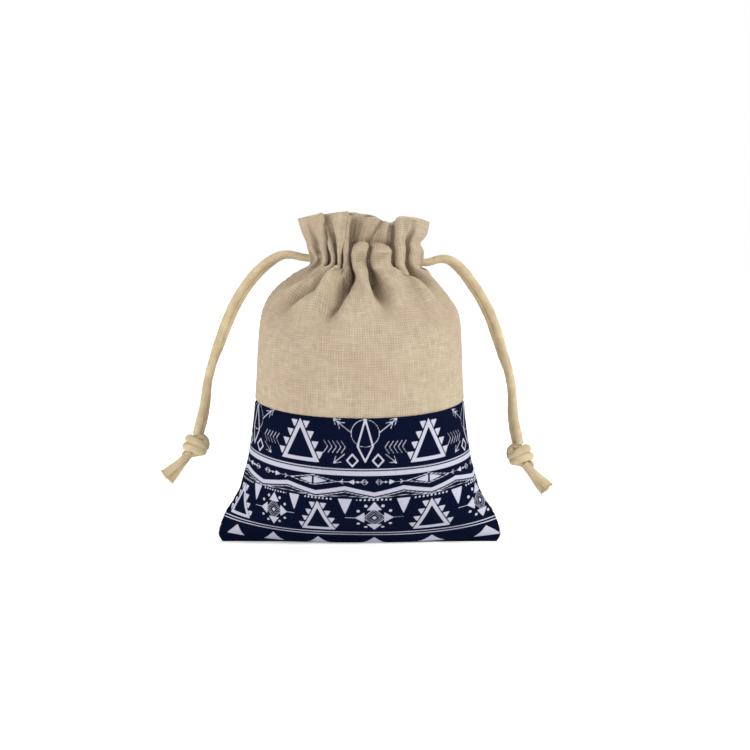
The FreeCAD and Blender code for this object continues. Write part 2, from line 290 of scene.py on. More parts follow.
def smoothed(values, axis, times):
    """Values averaged with their neighbours along an axis; its two ends stay."""
    smooth = np.moveaxis(values.copy(), axis, 0)
    for _ in range(times):
        smooth[1:-1] = smooth[1:-1] / 2 + (smooth[:-2] + smooth[2:]) / 4
    return np.moveaxis(smooth, 0, axis)


def blended(one, other, share):
    return one * (1 - share) + other * share


def rounded(points, times):
    """Cut the corners of an open line, keeping its ends."""
    line = np.asarray(points, float)
    for _ in range(times):
        near = 0.75 * line[:-1] + 0.25 * line[1:]
        far = 0.25 * line[:-1] + 0.75 * line[1:]
        between = np.stack([near, far], 1).reshape(-1, line.shape[1])
        line = np.vstack([line[:1], between, line[-1:]])
    return line


def evenly(line, count):
    """The same line as count points, equally far apart along it, and its length."""
    along = distances(line)
    return line_at(line, along, np.linspace(0, along[-1], count)), along[-1]


def fitted(make_line, low, high):
    """The line of the family make_line(depth) that is as long as the panel is wide."""
    for _ in range(24):
        middle = (low + high) / 2
        line, length = evenly(rounded(make_line(middle), 2), COLS)
        if length < WIDTH:
            low = middle
        else:
            high = middle
    return line


def neck_line(pleats):
    """Pleats at the cord: ridges on the neck's lens, folds between them going in."""
    def outline(x):
        return max(float(lens_y(x, NECK_X, NECK_A, NECK_B)), SLIT_Y)

    def make(depth):
        points = [(NECK_X - NECK_A, SLIT_Y)]
        for (x, half), after in zip(pleats, pleats[1:] + (None,)):
            points += [(x - half, outline(x - half)), (x + half, outline(x + half))]
            if after:
                valley = (x + half + after[0] - after[1]) / 2
                points.append((valley, max(outline(valley) - depth, 0.6)))
        points.append((NECK_X + NECK_A, SLIT_Y))
        return points
    return fitted(make, 0.5, 16.0)


def ruffle_line(points):
    """The ruffle's folded edge, one point for each column of the cloth."""
    table = np.array(points)
    column = np.linspace(0, WIDTH, COLS)
    line = np.stack([np.interp(column, table[:, 0], table[:, i]) for i in (1, 2)], 1)
    return smoothed(line, axis=0, times=5)


# ---- the drawn cloth, before it settles ----
def heights_along(radii_column, start):
    """Height of each row along a path up the sack, given as distances from the start at the floor."""
    z = np.linspace(0, NECK_Z, 400)
    sideways = section_at(BODY, z)[radii_column]
    path = start + np.concatenate([[0], np.cumsum(np.hypot(np.diff(z), np.diff(sideways)))])
    lifted = ROWS_V + WAIST_LIFT * np.sin(math.pi * np.clip(ROWS_V / CORD_V, 0, 1))
    rows = np.interp(lifted, path * CORD_V / path[-1], z)
    above = ROWS_V > CORD_V
    rows[above] = NECK_Z + (ROWS_V[above] - CORD_V) * RUFFLE_RISE
    return rows


def body_section(z):
    """x and distance from the middle plane for each column of a row whose columns have the heights z."""
    places = [np.array(lens_points(*section_at(BODY, z[i]), COLS))[:, i] for i in range(COLS)]
    return np.array(places).T


def first_shape():
    """Cloth before it settles: (side, row, column, xyz); side 0 is the front."""
    floor_depth = BODY[0, 2]
    middle_z = heights_along(1, floor_depth)
    crease_z = heights_along(0, 0.0)
    column = np.arange(COLS)
    to_side = np.abs(np.linspace(-1, 1, COLS)) ** CREASE_POWER
    late = np.interp(column, (0, COLS / 2, COLS), GATHER_POWER)
    cloth = np.zeros((2, len(ROWS_V), COLS, 3))
    for side, (pleats, ruffle) in enumerate(((FRONT_PLEATS, FRONT_RUFFLE), (BACK_PLEATS, BACK_RUFFLE))):
        neck = neck_line(pleats).T
        edge = ruffle_line(ruffle).T
        edge_z = np.interp(column * WIDTH / (COLS - 1), *zip(*RUFFLE_TOP[side]))
        for row, v in enumerate(ROWS_V):
            z = blended(middle_z[row], crease_z[row], to_side)
            seen_from_above = body_section(z)
            if v < floor_depth:
                seen_from_above[1] = seen_from_above[1] * v / floor_depth
            gather = np.clip((v - GATHER_START_V) / (CORD_V - 2 - GATHER_START_V), 0, 1) ** late
            flare = np.clip((v - FLARE_V) / (TOP_V - FLARE_V), 0, 1) ** FLARE_POWER
            x, y = blended(blended(seen_from_above, neck, gather), edge, flare)
            z = z + flare * edge_z
            z = z - LIP_DROP * lips(side) * np.clip((v - LIP_FOOT_V) / 6, 0, 1)
            bulge = casing_bulge(v, side)
            x = NECK_X + (x - NECK_X) * (1 + bulge / NECK_A)
            y = OUTWARD[side] * y * (1 + bulge / NECK_B)
            cloth[side, row] = np.stack([x, y, z], 1)
    return cloth


def lips(side):
    """Where along one side the gathered cloth hangs over the cord as a rounded lip."""
    place = np.linspace(0, WIDTH, COLS)
    if side == 1:
        centre, half, share = BACK_TUFT
        return share * np.exp(-((place - centre) / half) ** 2)
    return sum(np.exp(-((place - centre) / half) ** 4) for centre, half in TUFTS)


def casing_bulge(v, side):
    """How far the cords inside push the casing out, and the stitches above pull it in."""
    over_cord = (0.2 + 1.2 * lips(side)) * math.exp(-((v - BULGE_V) / 2.4) ** 2)
    at_stitches = (0.3 + 1.0 * lips(side)) * math.exp(-((v - PULLED_IN_V) / 1.9) ** 2)
    return over_cord - at_stitches


# ---- cloth solver ----
def pull(points_a, points_b, rest, stiffness):
    """Move both ends of each thread towards its rest length."""
    gap = points_b - points_a
    length = np.sqrt((gap * gap).sum(-1)) + 1e-9
    move = gap * ((1 - rest / length) * 0.5 * stiffness)[..., None]
    points_a += move
    points_b -= move


def pull_threads(cloth, row_step, bend):
    """One pass over warp, weft, both diagonals and the bending links; bend has a value for each row."""
    across = WIDTH / (COLS - 1)
    diagonal = np.hypot(row_step, across)
    for start in (0, 1):
        pull(cloth[:, :, start:-1:2], cloth[:, :, start + 1::2], across, STRETCH)
        pull(cloth[:, start:-1:2], cloth[:, start + 1::2], row_step[:, start::2], STRETCH)
        pull(cloth[:, start:-1:2, :-1], cloth[:, start + 1::2, 1:], diagonal[:, start::2, 1:], SHEAR)
        pull(cloth[:, start:-1:2, 1:], cloth[:, start + 1::2, :-1], diagonal[:, start::2, 1:], SHEAR)
    two_rows = row_step[:, :-1] + row_step[:, 1:]
    for start in range(4):
        pull(cloth[:, :, start:-2:4], cloth[:, :, start + 2::4], 2 * across, bend[None, :, None])
        firmness = bend[None, start + 1:-1:4, None]
        pull(cloth[:, start:-2:4], cloth[:, start + 2::4], two_rows[:, start::4], firmness)


def keep_out(cloth, up_to):
    """Push cloth out of the filling, away from the far side's arc centre."""
    z = cloth[:, :up_to, :, 2]
    half_width, half_depth, shift = section_at(FILLING, z)
    inside_height = (z < FILLING[-1, 0])
    radius = lens_radius(half_width, half_depth)
    outward = np.array(OUTWARD)[:, None, None]
    centre = -outward * (radius - half_depth)
    dx = cloth[:, :up_to, :, 0] - shift
    dy = cloth[:, :up_to, :, 1] - centre
    distance = np.hypot(dx, dy) + 1e-9
    push = np.where(inside_height & (distance < radius), radius / distance, 1.0)
    cloth[:, :up_to, :, 0] = shift + dx * push
    cloth[:, :up_to, :, 1] = centre + dy * push


def grid_normals(points, side):
    """Directions out of the sack from a grid of rows and columns of one side."""
    normal = np.cross(np.gradient(points, axis=1), np.gradient(points, axis=0))
    if side == 1:
        normal = -normal
    return normal / (np.linalg.norm(normal, axis=-1, keepdims=True) + 1e-9)


def outward_normals(cloth):
    """Directions out of the sack for both sides of the coarse cloth."""
    return np.stack([grid_normals(cloth[side], side) for side in (0, 1)])


def settle(cloth, steps):
    """Let the cloth find its rest: filled from inside, standing on the floor, drawn up at the cord."""
    drawn_step = np.linalg.norm(np.diff(cloth, axis=1), axis=-1)
    row_step = np.clip(drawn_step / np.diff(ROWS_V)[:, None], 0.85, 1.12) * np.diff(ROWS_V)[:, None]
    ruffle = ROWS_V[1:] > CORD_V
    row_step[:, ruffle] = np.clip(drawn_step[:, ruffle], 0.7, 1.0)
    slit_row = int(np.searchsorted(ROWS_V, SLIT_V))
    body = ROWS_V < SLIT_V
    hold = np.interp(ROWS_V, HOLD_V, HOLD)[None, :, None, None] * np.ones((2, 1, COLS, 1))
    lip_rows = np.exp(-((ROWS_V - LIP_HOLD_V) / 3.5) ** 4)[:, None]
    hold[..., 0] += LIP_HOLD * lip_rows[None] * np.stack([lips(0), lips(1)])[:, None]
    bend = np.where(ROWS_V > GATHER_V, GATHER_BEND, BODY_BEND)
    drawn = cloth.copy()
    before = cloth.copy()
    outward = np.array(OUTWARD)[:, None, None]
    for step in range(steps):
        speed = (cloth - before) * KEPT_SPEED
        before = cloth.copy()
        cloth += np.clip(speed, -MOST_SPEED, MOST_SPEED)
        if step % 4 == 0:
            normals = outward_normals(cloth)
        cloth[:, body] += normals[:, body] * FILL_PUSH
        cloth[..., 2] -= WEIGHT
        for _ in range(PASSES):
            pull_threads(cloth, row_step, bend)
            cloth += (drawn - cloth) * hold
        keep_out(cloth, slit_row)
        crease = cloth[:, :slit_row, (0, -1)]
        crease += (drawn[:, :slit_row, (0, -1)] - crease) * CREASE_HOLD
        cloth[:, :slit_row, (0, -1)] = crease.mean(0)
        cloth[:, 0] = cloth[:, 0].mean(0)
        cloth[..., 2] = np.maximum(cloth[..., 2], 0)
        above = cloth[:, slit_row:, :, 1]
        cloth[:, slit_row:, :, 1] = np.where(above * outward < LEAST_Y, LEAST_Y * outward, above)
    return cloth


def ironed(cloth, times):
    """Smooth out what is finer than the cloth could fold, most of all low on the sack."""
    share = np.interp(ROWS_V, (0, 70, 95, 104, 116, 118, TOP_V), (0.5, 0.5, 0.25, 0.35, 0.35, 0.15, 0.15))
    share = share[None, 1:-1, None, None]
    for _ in range(times):
        inner = cloth[:, 1:-1, 1:-1]
        around = (cloth[:, :-2, 1:-1] + cloth[:, 2:, 1:-1] + cloth[:, 1:-1, :-2] + cloth[:, 1:-1, 2:]) / 4
        edges = (cloth[:, :-2, (0, -1)] + cloth[:, 2:, (0, -1)]) / 2
        cloth[:, 1:-1, (0, -1)] += (edges - cloth[:, 1:-1, (0, -1)]) * share * 0.8
        cloth[:, 1:-1, 1:-1] = inner + (around - inner) * share
    return cloth


def levelled(cloth, times):
    """Take the spikes at the ruffle's sharp folds out of its height, most of all along the top edge."""
    share = np.interp(ROWS_V, (FLARE_V, TOP_V), (0, 0.5))[None, :, None]
    for _ in range(times):
        height = cloth[..., 2]
        around = (height[:, :, :-2] + height[:, :, 2:]) / 2
        cloth[:, :, 1:-1, 2] = height[:, :, 1:-1] + (around - height[:, :, 1:-1]) * share
    return cloth


# ---- from the coarse cloth to smooth grids ----
def cubic(values, wanted, axis):
    """Catmull-Rom values at fractional indices along one axis."""
    values = np.moveaxis(values, axis, 0)
    last = len(values) - 1
    low = np.clip(np.floor(wanted).astype(int), 0, last - 1)
    part = (wanted - low).reshape((-1,) + (1,) * (values.ndim - 1))
    before = values[np.maximum(low - 1, 0)]
    start = values[low]
    end = values[low + 1]
    after = values[np.minimum(low + 2, last)]
    bow = 2 * before - 5 * start + 4 * end - after
    twist = 3 * (start - end) + after - before
    smooth = start + 0.5 * part * (end - before + part * (bow + part * twist))
    return np.moveaxis(smooth, 0, axis)


def cloth_grid(side_cloth, v_from, v_to, v_step, u_step):
    """Finer rows and columns of one side between two heights of the pattern, with their flat places."""
    count_v = int(round((v_to - v_from) / v_step)) + 1
    count_u = int(round(WIDTH / u_step)) + 1
    v = np.linspace(v_from, v_to, count_v)
    u = np.linspace(0, WIDTH, count_u)
    rows = np.interp(v, ROWS_V, np.arange(len(ROWS_V)))
    points = cubic(cubic(side_cloth, rows, 0), u * (COLS - 1) / WIDTH, 1)
    return points, u, v


def carved(cloth, side, folds):
    """Deepen or raise long folds: each starts at a column at the cord and runs down the sack to another."""
    place = np.linspace(0, WIDTH, COLS)[None]
    normals = outward_normals(smoothed(cloth, axis=2, times=60))[side]
    off_seam = np.clip(np.minimum(place, WIDTH - place) / SEAM_CLEAR, 0, 1) ** 1.5
    below_top = FOLDS_TOP_V - ROWS_V
    cloth = cloth.copy()
    for top, low, low_v, depth, top_width, low_width in folds:
        part = np.clip(below_top / (FOLDS_TOP_V - low_v), 0, 1)[:, None]
        centre = top + (low - top) * part
        width = top_width + (low_width - top_width) * part
        start = np.clip(below_top / SEAM_CLEAR, 0, 1)[:, None]
        strength = depth * start * (1 - part) ** 0.8 * (below_top > 0)[:, None] * off_seam
        across = np.exp(-((place - centre) / width) ** 2)
        cloth[side] -= normals * (strength * across)[..., None]
    return cloth


def merged_folds(cloth):
    """Small folds from the cord run together lower on the shoulder."""
    share = np.interp(ROWS_V, (84, 98, 106, 113), (0.9, 0.9, 0.45, 0.0))[None, :, None, None]
    return blended(cloth, smoothed(cloth, axis=2, times=14), share)


def lipped(cloth):
    """Tufts bulge over the cord and turn in sharply above it, where the ruffle stands up behind them."""
    cloth = cloth.copy()
    place = np.linspace(0, WIDTH, COLS)[None]
    above = (ROWS_V - CORD_V)[:, None]
    cloth[..., 0] -= SIDE_PINCH * np.exp(-((above - 7.5) / 3.2) ** 2) * np.clip((place - 84) / 16, 0, 1)
    round_cord = np.exp(-((above - 3.4) / 2.8) ** 2)
    leaning = LIP_SHIFT * np.exp(-((place - 62) / 7.0) ** 2)
    for side, outward in enumerate(OUTWARD):
        tuft = lips(side)[None]
        turned = np.interp(above - LIP_RISE * tuft, *LIP_TURN)
        cloth[side, ..., 0] -= leaning * turned
        cloth[side, ..., 1] += outward * tuft * (LIP_OUT * round_cord - LIP_IN * turned)
        cloth[side, ..., 1] = outward * np.maximum(cloth[side, ..., 1] * outward, LEAST_Y)
        cloth[side, ..., 2] -= LIP_SINK * tuft * turned
    return cloth


def slit_edges_apart(cloth):
    """Side edges of the slits stand clear of the cords that come out between them."""
    reach = np.where(ROWS_V < CORD_V, 4.0, 5.0)
    near_cord = np.exp(-((ROWS_V - CORD_V) / reach) ** 2)[:, None]
    fading = np.linspace(1, 0, 6) ** 2
    near_side = np.concatenate([fading, np.zeros(COLS - 12), fading[::-1]])[None]
    for side, outward in enumerate(OUTWARD):
        room = np.maximum(SLIT_ROOM - cloth[side, ..., 1] * outward, 0)
        cloth[side, ..., 1] += outward * room * near_cord * near_side
    return cloth


# ---- meshes ----
def new_mesh(name, points, faces, uv, values):
    """A smooth mesh from points in millimetres.

    uv gives each point its flat place, and values gives each point a number under each name.
    """
    mesh = bpy.data.meshes.new(name)
    mesh.from_pydata((points * MM).tolist(), [], faces)
    corners = np.zeros(len(mesh.loops), int)
    mesh.loops.foreach_get("vertex_index", corners)
    mesh.uv_layers.new(name="flat").data.foreach_set("uv", uv[corners].ravel())
    for value_name, value in values.items():
        mesh.attributes.new(value_name, "FLOAT", "POINT").data.foreach_set("value", value)
    mesh.polygons.foreach_set("use_smooth", np.ones(len(mesh.polygons), bool))
    mesh.update()
    piece = bpy.data.objects.new(name, mesh)
    bpy.context.scene.collection.objects.link(piece)
    return piece


def grid_quads(rows, cols):
    """Numbers of the points in a grid, and the faces between them."""
    index = np.arange(rows * cols).reshape(rows, cols)
    corners = (index[:-1, :-1], index[:-1, 1:], index[1:, 1:], index[1:, :-1])
    return index, np.stack(corners, -1).reshape(-1, 4)


def slab(name, middle, normal, thickness, uv, side, values):
    """A sheet of cloth with both faces and its four edges, from the grid of its middle surface."""
    rows, cols = middle.shape[:2]
    count = rows * cols
    half = normal * thickness / 2
    points = np.concatenate([(middle + half).reshape(-1, 3), (middle - half).reshape(-1, 3)])
    index, quads = grid_quads(rows, cols)
    border = np.concatenate([index[0, :-1], index[:-1, -1], index[-1, :0:-1], index[:0:-1, 0]])
    following = np.roll(border, -1)
    rim = np.stack([following, border, border + count, following + count], -1)
    faces = np.concatenate([quads, quads[:, ::-1] + count, rim])
    if side == 1:
        faces = faces[:, ::-1]
    both_uv = np.concatenate([uv.reshape(-1, 2)] * 2)
    both_values = {key: np.concatenate([value.ravel()] * 2) for key, value in values.items()}
    return new_mesh(name, points, faces.tolist(), both_uv, both_values)


def rolled_in(points, normal, distance, reach, depth):
    """Cloth turning in towards a seam: points closer than reach to it sink by up to depth."""
    share = np.clip(1 - distance / reach, 0, 1) ** 2
    return points - normal * (depth * share)[..., None]


def seam_turns(points, normal, u, v, seam_v):
    """Turn a panel's edges in at the side seams, up to the slits, and at the seam across the sack."""
    to_side = np.minimum(u, WIDTH - u)[None, :] + np.where(v < SLIT_V, 0, SEAM_REACH)[:, None]
    points = rolled_in(points, normal, to_side, SEAM_REACH, SEAM_DEPTH)
    return rolled_in(points, normal, np.abs(v - seam_v)[:, None], SEAM_REACH, SEAM_DEPTH)


def hem_inside(points, normal, v, side):
    """Middle surface of the turned-in hem: close inside the panel's own, but off it round the cords."""
    inwards = smoothed(normal, axis=1, times=12) * (LINEN / 2 + HEM_GAP)
    near = smoothed(points, axis=1, times=6) - inwards
    depth = points[..., 1] * OUTWARD[side]
    reach = int(CORD_REACH / FINE)
    padded = np.pad(depth, ((0, 0), (reach, reach)), mode="edge")
    least = np.min([padded[:, i:i + depth.shape[1]] for i in range(2 * reach + 1)], 0)
    channel = smoothed(points, axis=1, times=40)
    room = smoothed(least, axis=1, times=40) - CORD_D - CASING_EASE
    channel[..., 1] = OUTWARD[side] * np.maximum(room, LEAST_Y)
    share = np.exp(-np.abs((v - CORD_V) / 4.0) ** 4)[:, None, None]
    return blended(near, channel, share)


def linen_panel(name, side_cloth, side):
    """Linen from the waist seam up, folded over at the top and down inside to the hem's raw edge."""
    points, u, v = cloth_grid(side_cloth, WAIST_V, TOP_V, FINE, FINE)
    normal = grid_normals(points, side)
    points = seam_turns(points, normal, u, v, WAIST_V)
    points = points + normal * slub_relief(u[None], v[:, None])[..., None]
    out = points - normal * LINEN / 2
    hem_rows = v >= HEM_V
    hem = hem_inside(points[hem_rows], normal[hem_rows], v[hem_rows], side)[::-1]
    up = smoothed(out[-1] - out[-3], axis=0, times=12)
    up /= np.linalg.norm(up, axis=-1, keepdims=True)
    across = hem[0] - out[-1]
    turns = np.linspace(0, math.pi, FOLD_ROWS + 2)[1:-1]
    fold = [out[-1] + across * (1 - math.cos(a)) / 2 + up * HEM_GAP / 2 * math.sin(a) for a in turns]
    fold_normal = [normal[-1] * math.cos(a) + up * math.sin(a) for a in turns]
    middle = np.concatenate([out, fold, hem])
    normals = np.concatenate([normal, fold_normal, -normal[hem_rows][::-1]])
    path_v = np.concatenate([v, np.full(FOLD_ROWS, TOP_V), 2 * TOP_V - v[hem_rows][::-1]])
    uv = np.stack(np.broadcast_arrays(u[None], path_v[:, None]), -1) * MM
    return slab(name, middle, normals, LINEN, uv, side, {}), points, normal


def slub_relief(u, v):
    """Unevenness of hand-woven linen, in millimetres."""
    relief = np.zeros(np.broadcast(u, v).shape)
    waves = rng.uniform(0.18, 0.9, SLUB_WAVES)
    turns = rng.uniform(-0.5, 0.5, SLUB_WAVES)
    starts = rng.uniform(0, 6.28, SLUB_WAVES)
    for wave, turn, start in zip(waves, turns, starts):
        relief += SLUB_HEIGHT * np.sin(wave * (u * math.cos(turn) + v * math.sin(turn)) + start)
    return relief


def print_panel(name, side_cloth, side):
    """Printed cotton from the bottom seam to the waist seam, with its distance to the ink at every point."""
    points, u, v = cloth_grid(side_cloth, 0, WAIST_V, PRINT_FINE, PRINT_FINE)
    normal = grid_normals(points, side)
    points = seam_turns(points, normal, u, v, WAIST_V)
    uv = np.stack(np.broadcast_arrays(u[None], v[:, None]), -1) * MM
    across = u[None] - WIDTH / 2
    ink = ornament(across + PRINT_SHIFT[side], v[:, None] + PRINT_TILT * across, CROWDING[side])
    return slab(name, points - normal * COTTON / 2, normal, COTTON, uv, side, {"ink": ink}), points, normal


# ---- the printed ornament: distance to the nearest ink in millimetres, negative inside it ----
def stroke(x, y, ax, ay, bx, by, half):
    """A straight stroke from a to b."""
    dx = bx - ax
    dy = by - ay
    part = np.clip(((x - ax) * dx + (y - ay) * dy) / (dx * dx + dy * dy), 0, 1)
    return np.hypot(x - ax - part * dx, y - ay - part * dy) - half


def filled(x, y, corners):
    """A convex patch whose corners go round anticlockwise."""
    distance = np.full(np.broadcast(x, y).shape, -99.0)
    for (ax, ay), (bx, by) in zip(corners, corners[1:] + corners[:1]):
        length = math.hypot(bx - ax, by - ay)
        distance = np.maximum(distance, ((x - ax) * (by - ay) - (y - ay) * (bx - ax)) / length)
    return distance


def strokes(x, y, path, half):
    pairs = zip(path, path[1:])
    return np.minimum.reduce([stroke(x, y, *a, *b, half) for a, b in pairs])


def dot(x, y, cx, cy, radius):
    return np.hypot(x - cx, y - cy) - radius


def repeated(u, start, period):
    """Distance left or right of the nearest repeat's middle."""
    return (u - start + period / 2) % period - period / 2


def arrow_head(x, y, tip, direction, size, half):
    """Two barbs going back from the tip."""
    shapes = []
    for turn in (2.6, -2.6):
        angle = direction + turn
        end = (tip[0] + size * math.cos(angle), tip[1] + size * math.sin(angle))
        shapes.append(stroke(x, y, *tip, *end, half))
    return np.minimum(*shapes)


def outlined(x, y, corners, width):
    """A mitred outline inside a convex patch."""
    return np.abs(filled(x, y, corners) + width / 2) - width / 2


def toothed_triangle(x, y, apex, base, half_width):
    """An outlined triangle with teeth down both slopes."""
    ax = np.abs(x)
    shapes = [outlined(x, y, [(-half_width, base), (half_width, base), (0, apex)], 1.3)]
    slope = half_width / (apex - base)
    for k in range(4):
        top = apex - 0.5 - (k + 0.1) * (apex - base - 1.2) / 4
        foot = top - 2.7
        corners = [((apex - foot) * slope + 0.55, foot), ((apex - top) * slope + 3.1, top),
                   ((apex - top) * slope + 0.55, top)]
        shapes.append(filled(ax, y, corners))
    return np.minimum.reduce(shapes)


def upper_row(u, y):
    """Kites in a ring with arrows and diamonds, between toothed triangles."""
    x = np.abs(repeated(u, UPPER_START, UPPER_PERIOD))
    shapes = [
        outlined(x, y, [(-2.9, KITE_V - 0.6), (0, KITE_V - 6.6), (2.9, KITE_V - 0.6), (0, KITE_V + 10)], 0.6),
        np.abs(dot(x, y, 0, KITE_V + 3.9, 4.7)) - 0.13,
        strokes(x, y, [(4.7, 52.1), (10.8, 56.9)], 0.16),
        arrow_head(x, y, (10.8, 56.9), 0.70, 2.6, 0.14),
        arrow_head(x, y, (9.4, 55.8), 0.70, 2.6, 0.14),
        strokes(x, y, [(6.9, 44.6), (10.6, 41.3)], 0.15),
        arrow_head(x, y, (10.6, 41.3), -0.72, 2.6, 0.14),
        outlined(x, y, [(2.1, 42.4), (4.3, 39.9), (6.5, 42.4), (4.3, 45.0)], 0.55),
        toothed_triangle(x - UPPER_PERIOD / 2, y, 55.9, 41.1, 7.0),
    ]
    for k in range(5):
        tip = 6.6 + 1.5 * k
        shapes.append(strokes(x, y, [(tip + 1.4, 49.1), (tip, 47.0), (tip + 1.4, 44.9)], 0.13))
    return np.minimum.reduce(shapes)


def middle_row(u, y):
    """Stripes, pairs of darts, arrows and the zigzag."""
    x = np.abs(repeated(u, ARROW_START, LOWER_PERIOD))
    dart = np.abs(x - LOWER_PERIOD / 2)
    high = np.abs(y - ARROW_V)
    to_peak = np.abs(repeated(u, LOWER_START + LOWER_PERIOD / 4, LOWER_PERIOD / 2)) / (LOWER_PERIOD / 4)
    zigzag = ZIGZAG_V + 1.15 - 2.3 * to_peak
    shapes = [
        np.abs(y - 39.3) - 0.2,
        np.abs(y - 37.8) - 0.8,
        filled(dart, high, [(0.35, -9), (0.36, -9), (4.9, 0), (0.35, 1.25)]),
        strokes(dart, high, [(8.2, 0), (0, 1.8)], 0.14),
        strokes(x, high, [(1.2, 0), (11.5, 0)], 0.13),
        filled(x, high, [(5.9, -9), (5.91, -9), (8.0, 0), (5.9, 0.95)]),
        strokes(x, high, [(3.6, 0), (2.7, 0.9)], 0.14),
        strokes(x, high, [(1.4, 0), (2.2, 0.9)], 0.14),
        strokes(x, high, [(10.6, 0), (9.7, 0.8)], 0.14),
        dot(x, high, 4.7, 0, 0.4),
        (np.abs(y - zigzag) - 0.74) * 0.96,
        (np.abs(y - zigzag + 1.45) - 0.15) * 0.96,
        np.abs(y - zigzag * 0.4 - 0.6 * ZIGZAG_V + 2.2) - 0.12,
    ]
    return np.minimum.reduce(shapes)


def lower_row(u, y):
    """Bunting over toothed triangles and eyed diamonds."""
    x = np.abs(repeated(u, LOWER_START, LOWER_PERIOD))
    flag = np.abs(repeated(u, LOWER_START + LOWER_PERIOD / 4, LOWER_PERIOD / 2))
    dash = np.abs(repeated(u, 0.4, 1.45))
    beside = np.abs(y - DIAMOND_V)
    diamond = x / 1.08 + beside / 1.2
    shapes = [
        filled(flag, y, [(0, 21.6), (2.4, 28.2), (-2.4, 28.2)]),
        np.maximum(np.hypot(dash, y - 27.9) - 0.4, 3.8 - flag),
        toothed_triangle(x - LOWER_PERIOD / 2, y, 26.8, 12.6, 6.7),
        (np.abs(diamond - 3.6) - 0.18) * 0.75,
        (np.abs(diamond - 2.7) - 0.12) * 0.75,
        (np.abs(diamond - 1.8) - 0.12) * 0.75,
        (diamond - 0.8) * 0.75,
        filled(x, beside, [(3.4, -9), (3.41, -9), (6.6, 0), (3.4, 2.6)]),
        filled(x, beside, [(-2.6, 3.6), (2.6, 3.6), (0, 7.2)]),
        strokes(x, beside, [(6.6, 0), (10.0, 0)], 0.14),
        dot(x, beside, 2.9, 5.4, 0.6),
        dot(x, beside, 5.5, 3.2, 0.6),
        np.abs(y - 11.3) - 0.2,
        np.abs(y - 10.2) - 0.2,
        filled(repeated(u, LOWER_START, LOWER_PERIOD / 2), y, [(-5.0, 4.2), (5.0, 4.2), (0, 8.9)]),
    ]
    return np.minimum.reduce(shapes)


def ornament(u, v, crowding):
    """The whole print; crowding draws the lower row together towards the left side."""
    lower_u = u - crowding * np.maximum(-8 - u, 0) ** 1.75
    return np.minimum.reduce([upper_row(u, v), middle_row(u, v), lower_row(lower_u, v)])


# ---- tubes, cords and knots ----
def spline_points(route, step):
    """Points along the smooth curve that a route's control points shape, in millimetres, step apart."""
    curve = bpy.data.curves.new("route", "CURVE")
    curve.dimensions = "3D"
    curve.resolution_u = 16
    spline = curve.splines.new("NURBS")
    spline.points.add(len(route) - 1)
    for point, place in zip(spline.points, route):
        point.co = (*place, 1)
    spline.order_u = 3
    spline.use_endpoint_u = True
    holder = bpy.data.objects.new("route", curve)
    mesh = bpy.data.meshes.new_from_object(holder)
    points = np.array([vertex.co[:] for vertex in mesh.vertices])
    bpy.data.objects.remove(holder)
    bpy.data.curves.remove(curve)
    bpy.data.meshes.remove(mesh)
    length = np.linalg.norm(np.diff(points, axis=0), axis=1).sum()
    line, _ = evenly(points, max(int(round(length / step)), 4) + 1)
    return line, length


def carried_frames(line):
    """A tangent, a side and an up direction at each point of a line, turning as little as they can."""
    tangent = np.gradient(line, axis=0)
    tangent /= np.linalg.norm(tangent, axis=1, keepdims=True)
    side = np.empty_like(line)
    start = np.cross(tangent[0], (0.0, 1.0, 0.0))
    side[0] = start / np.linalg.norm(start)
    for i in range(1, len(line)):
        carried = side[i - 1] - tangent[i] * (side[i - 1] @ tangent[i])
        side[i] = carried / np.linalg.norm(carried)
    return tangent, side, np.cross(tangent, side)


def braid(along, angle, phase):
    """Height of a round braid's plaited yarns, 0 in the gaps and 1 on top."""
    # 2.2 makes the crossings crisp, and the power of 0.6 makes the yarns round
    one = BRAID_LOBES * angle / (2 * math.pi) + along / BRAID_PICK + phase
    other = BRAID_LOBES * angle / (2 * math.pi) - along / BRAID_PICK
    over = 0.5 + 0.5 * np.clip(2.2 * np.sin(math.pi * one) * np.sin(math.pi * other), -1, 1)
    return over * np.abs(np.sin(math.pi * one)) ** 0.6 + (1 - over) * np.abs(np.sin(math.pi * other)) ** 0.6


def rings_round(line, out, angle, flat=1.0):
    """Rings of points round a line; out is how far they lie from it, and flat narrows them one way."""
    _, side, up = carried_frames(line)
    return (line[:, None] + side[:, None] * (out * np.cos(angle))[..., None]
            + up[:, None] * (out * flat * np.sin(angle))[..., None])


def ring_walls(rings, segments, first=0):
    """Numbers of the points in each ring, and the faces from ring to ring."""
    index = first + np.arange(rings * segments).reshape(rings, segments)
    after = np.roll(index, -1, axis=1)
    return index, np.stack([index[:-1], after[:-1], after[1:], index[1:]], -1).reshape(-1, 4).tolist()


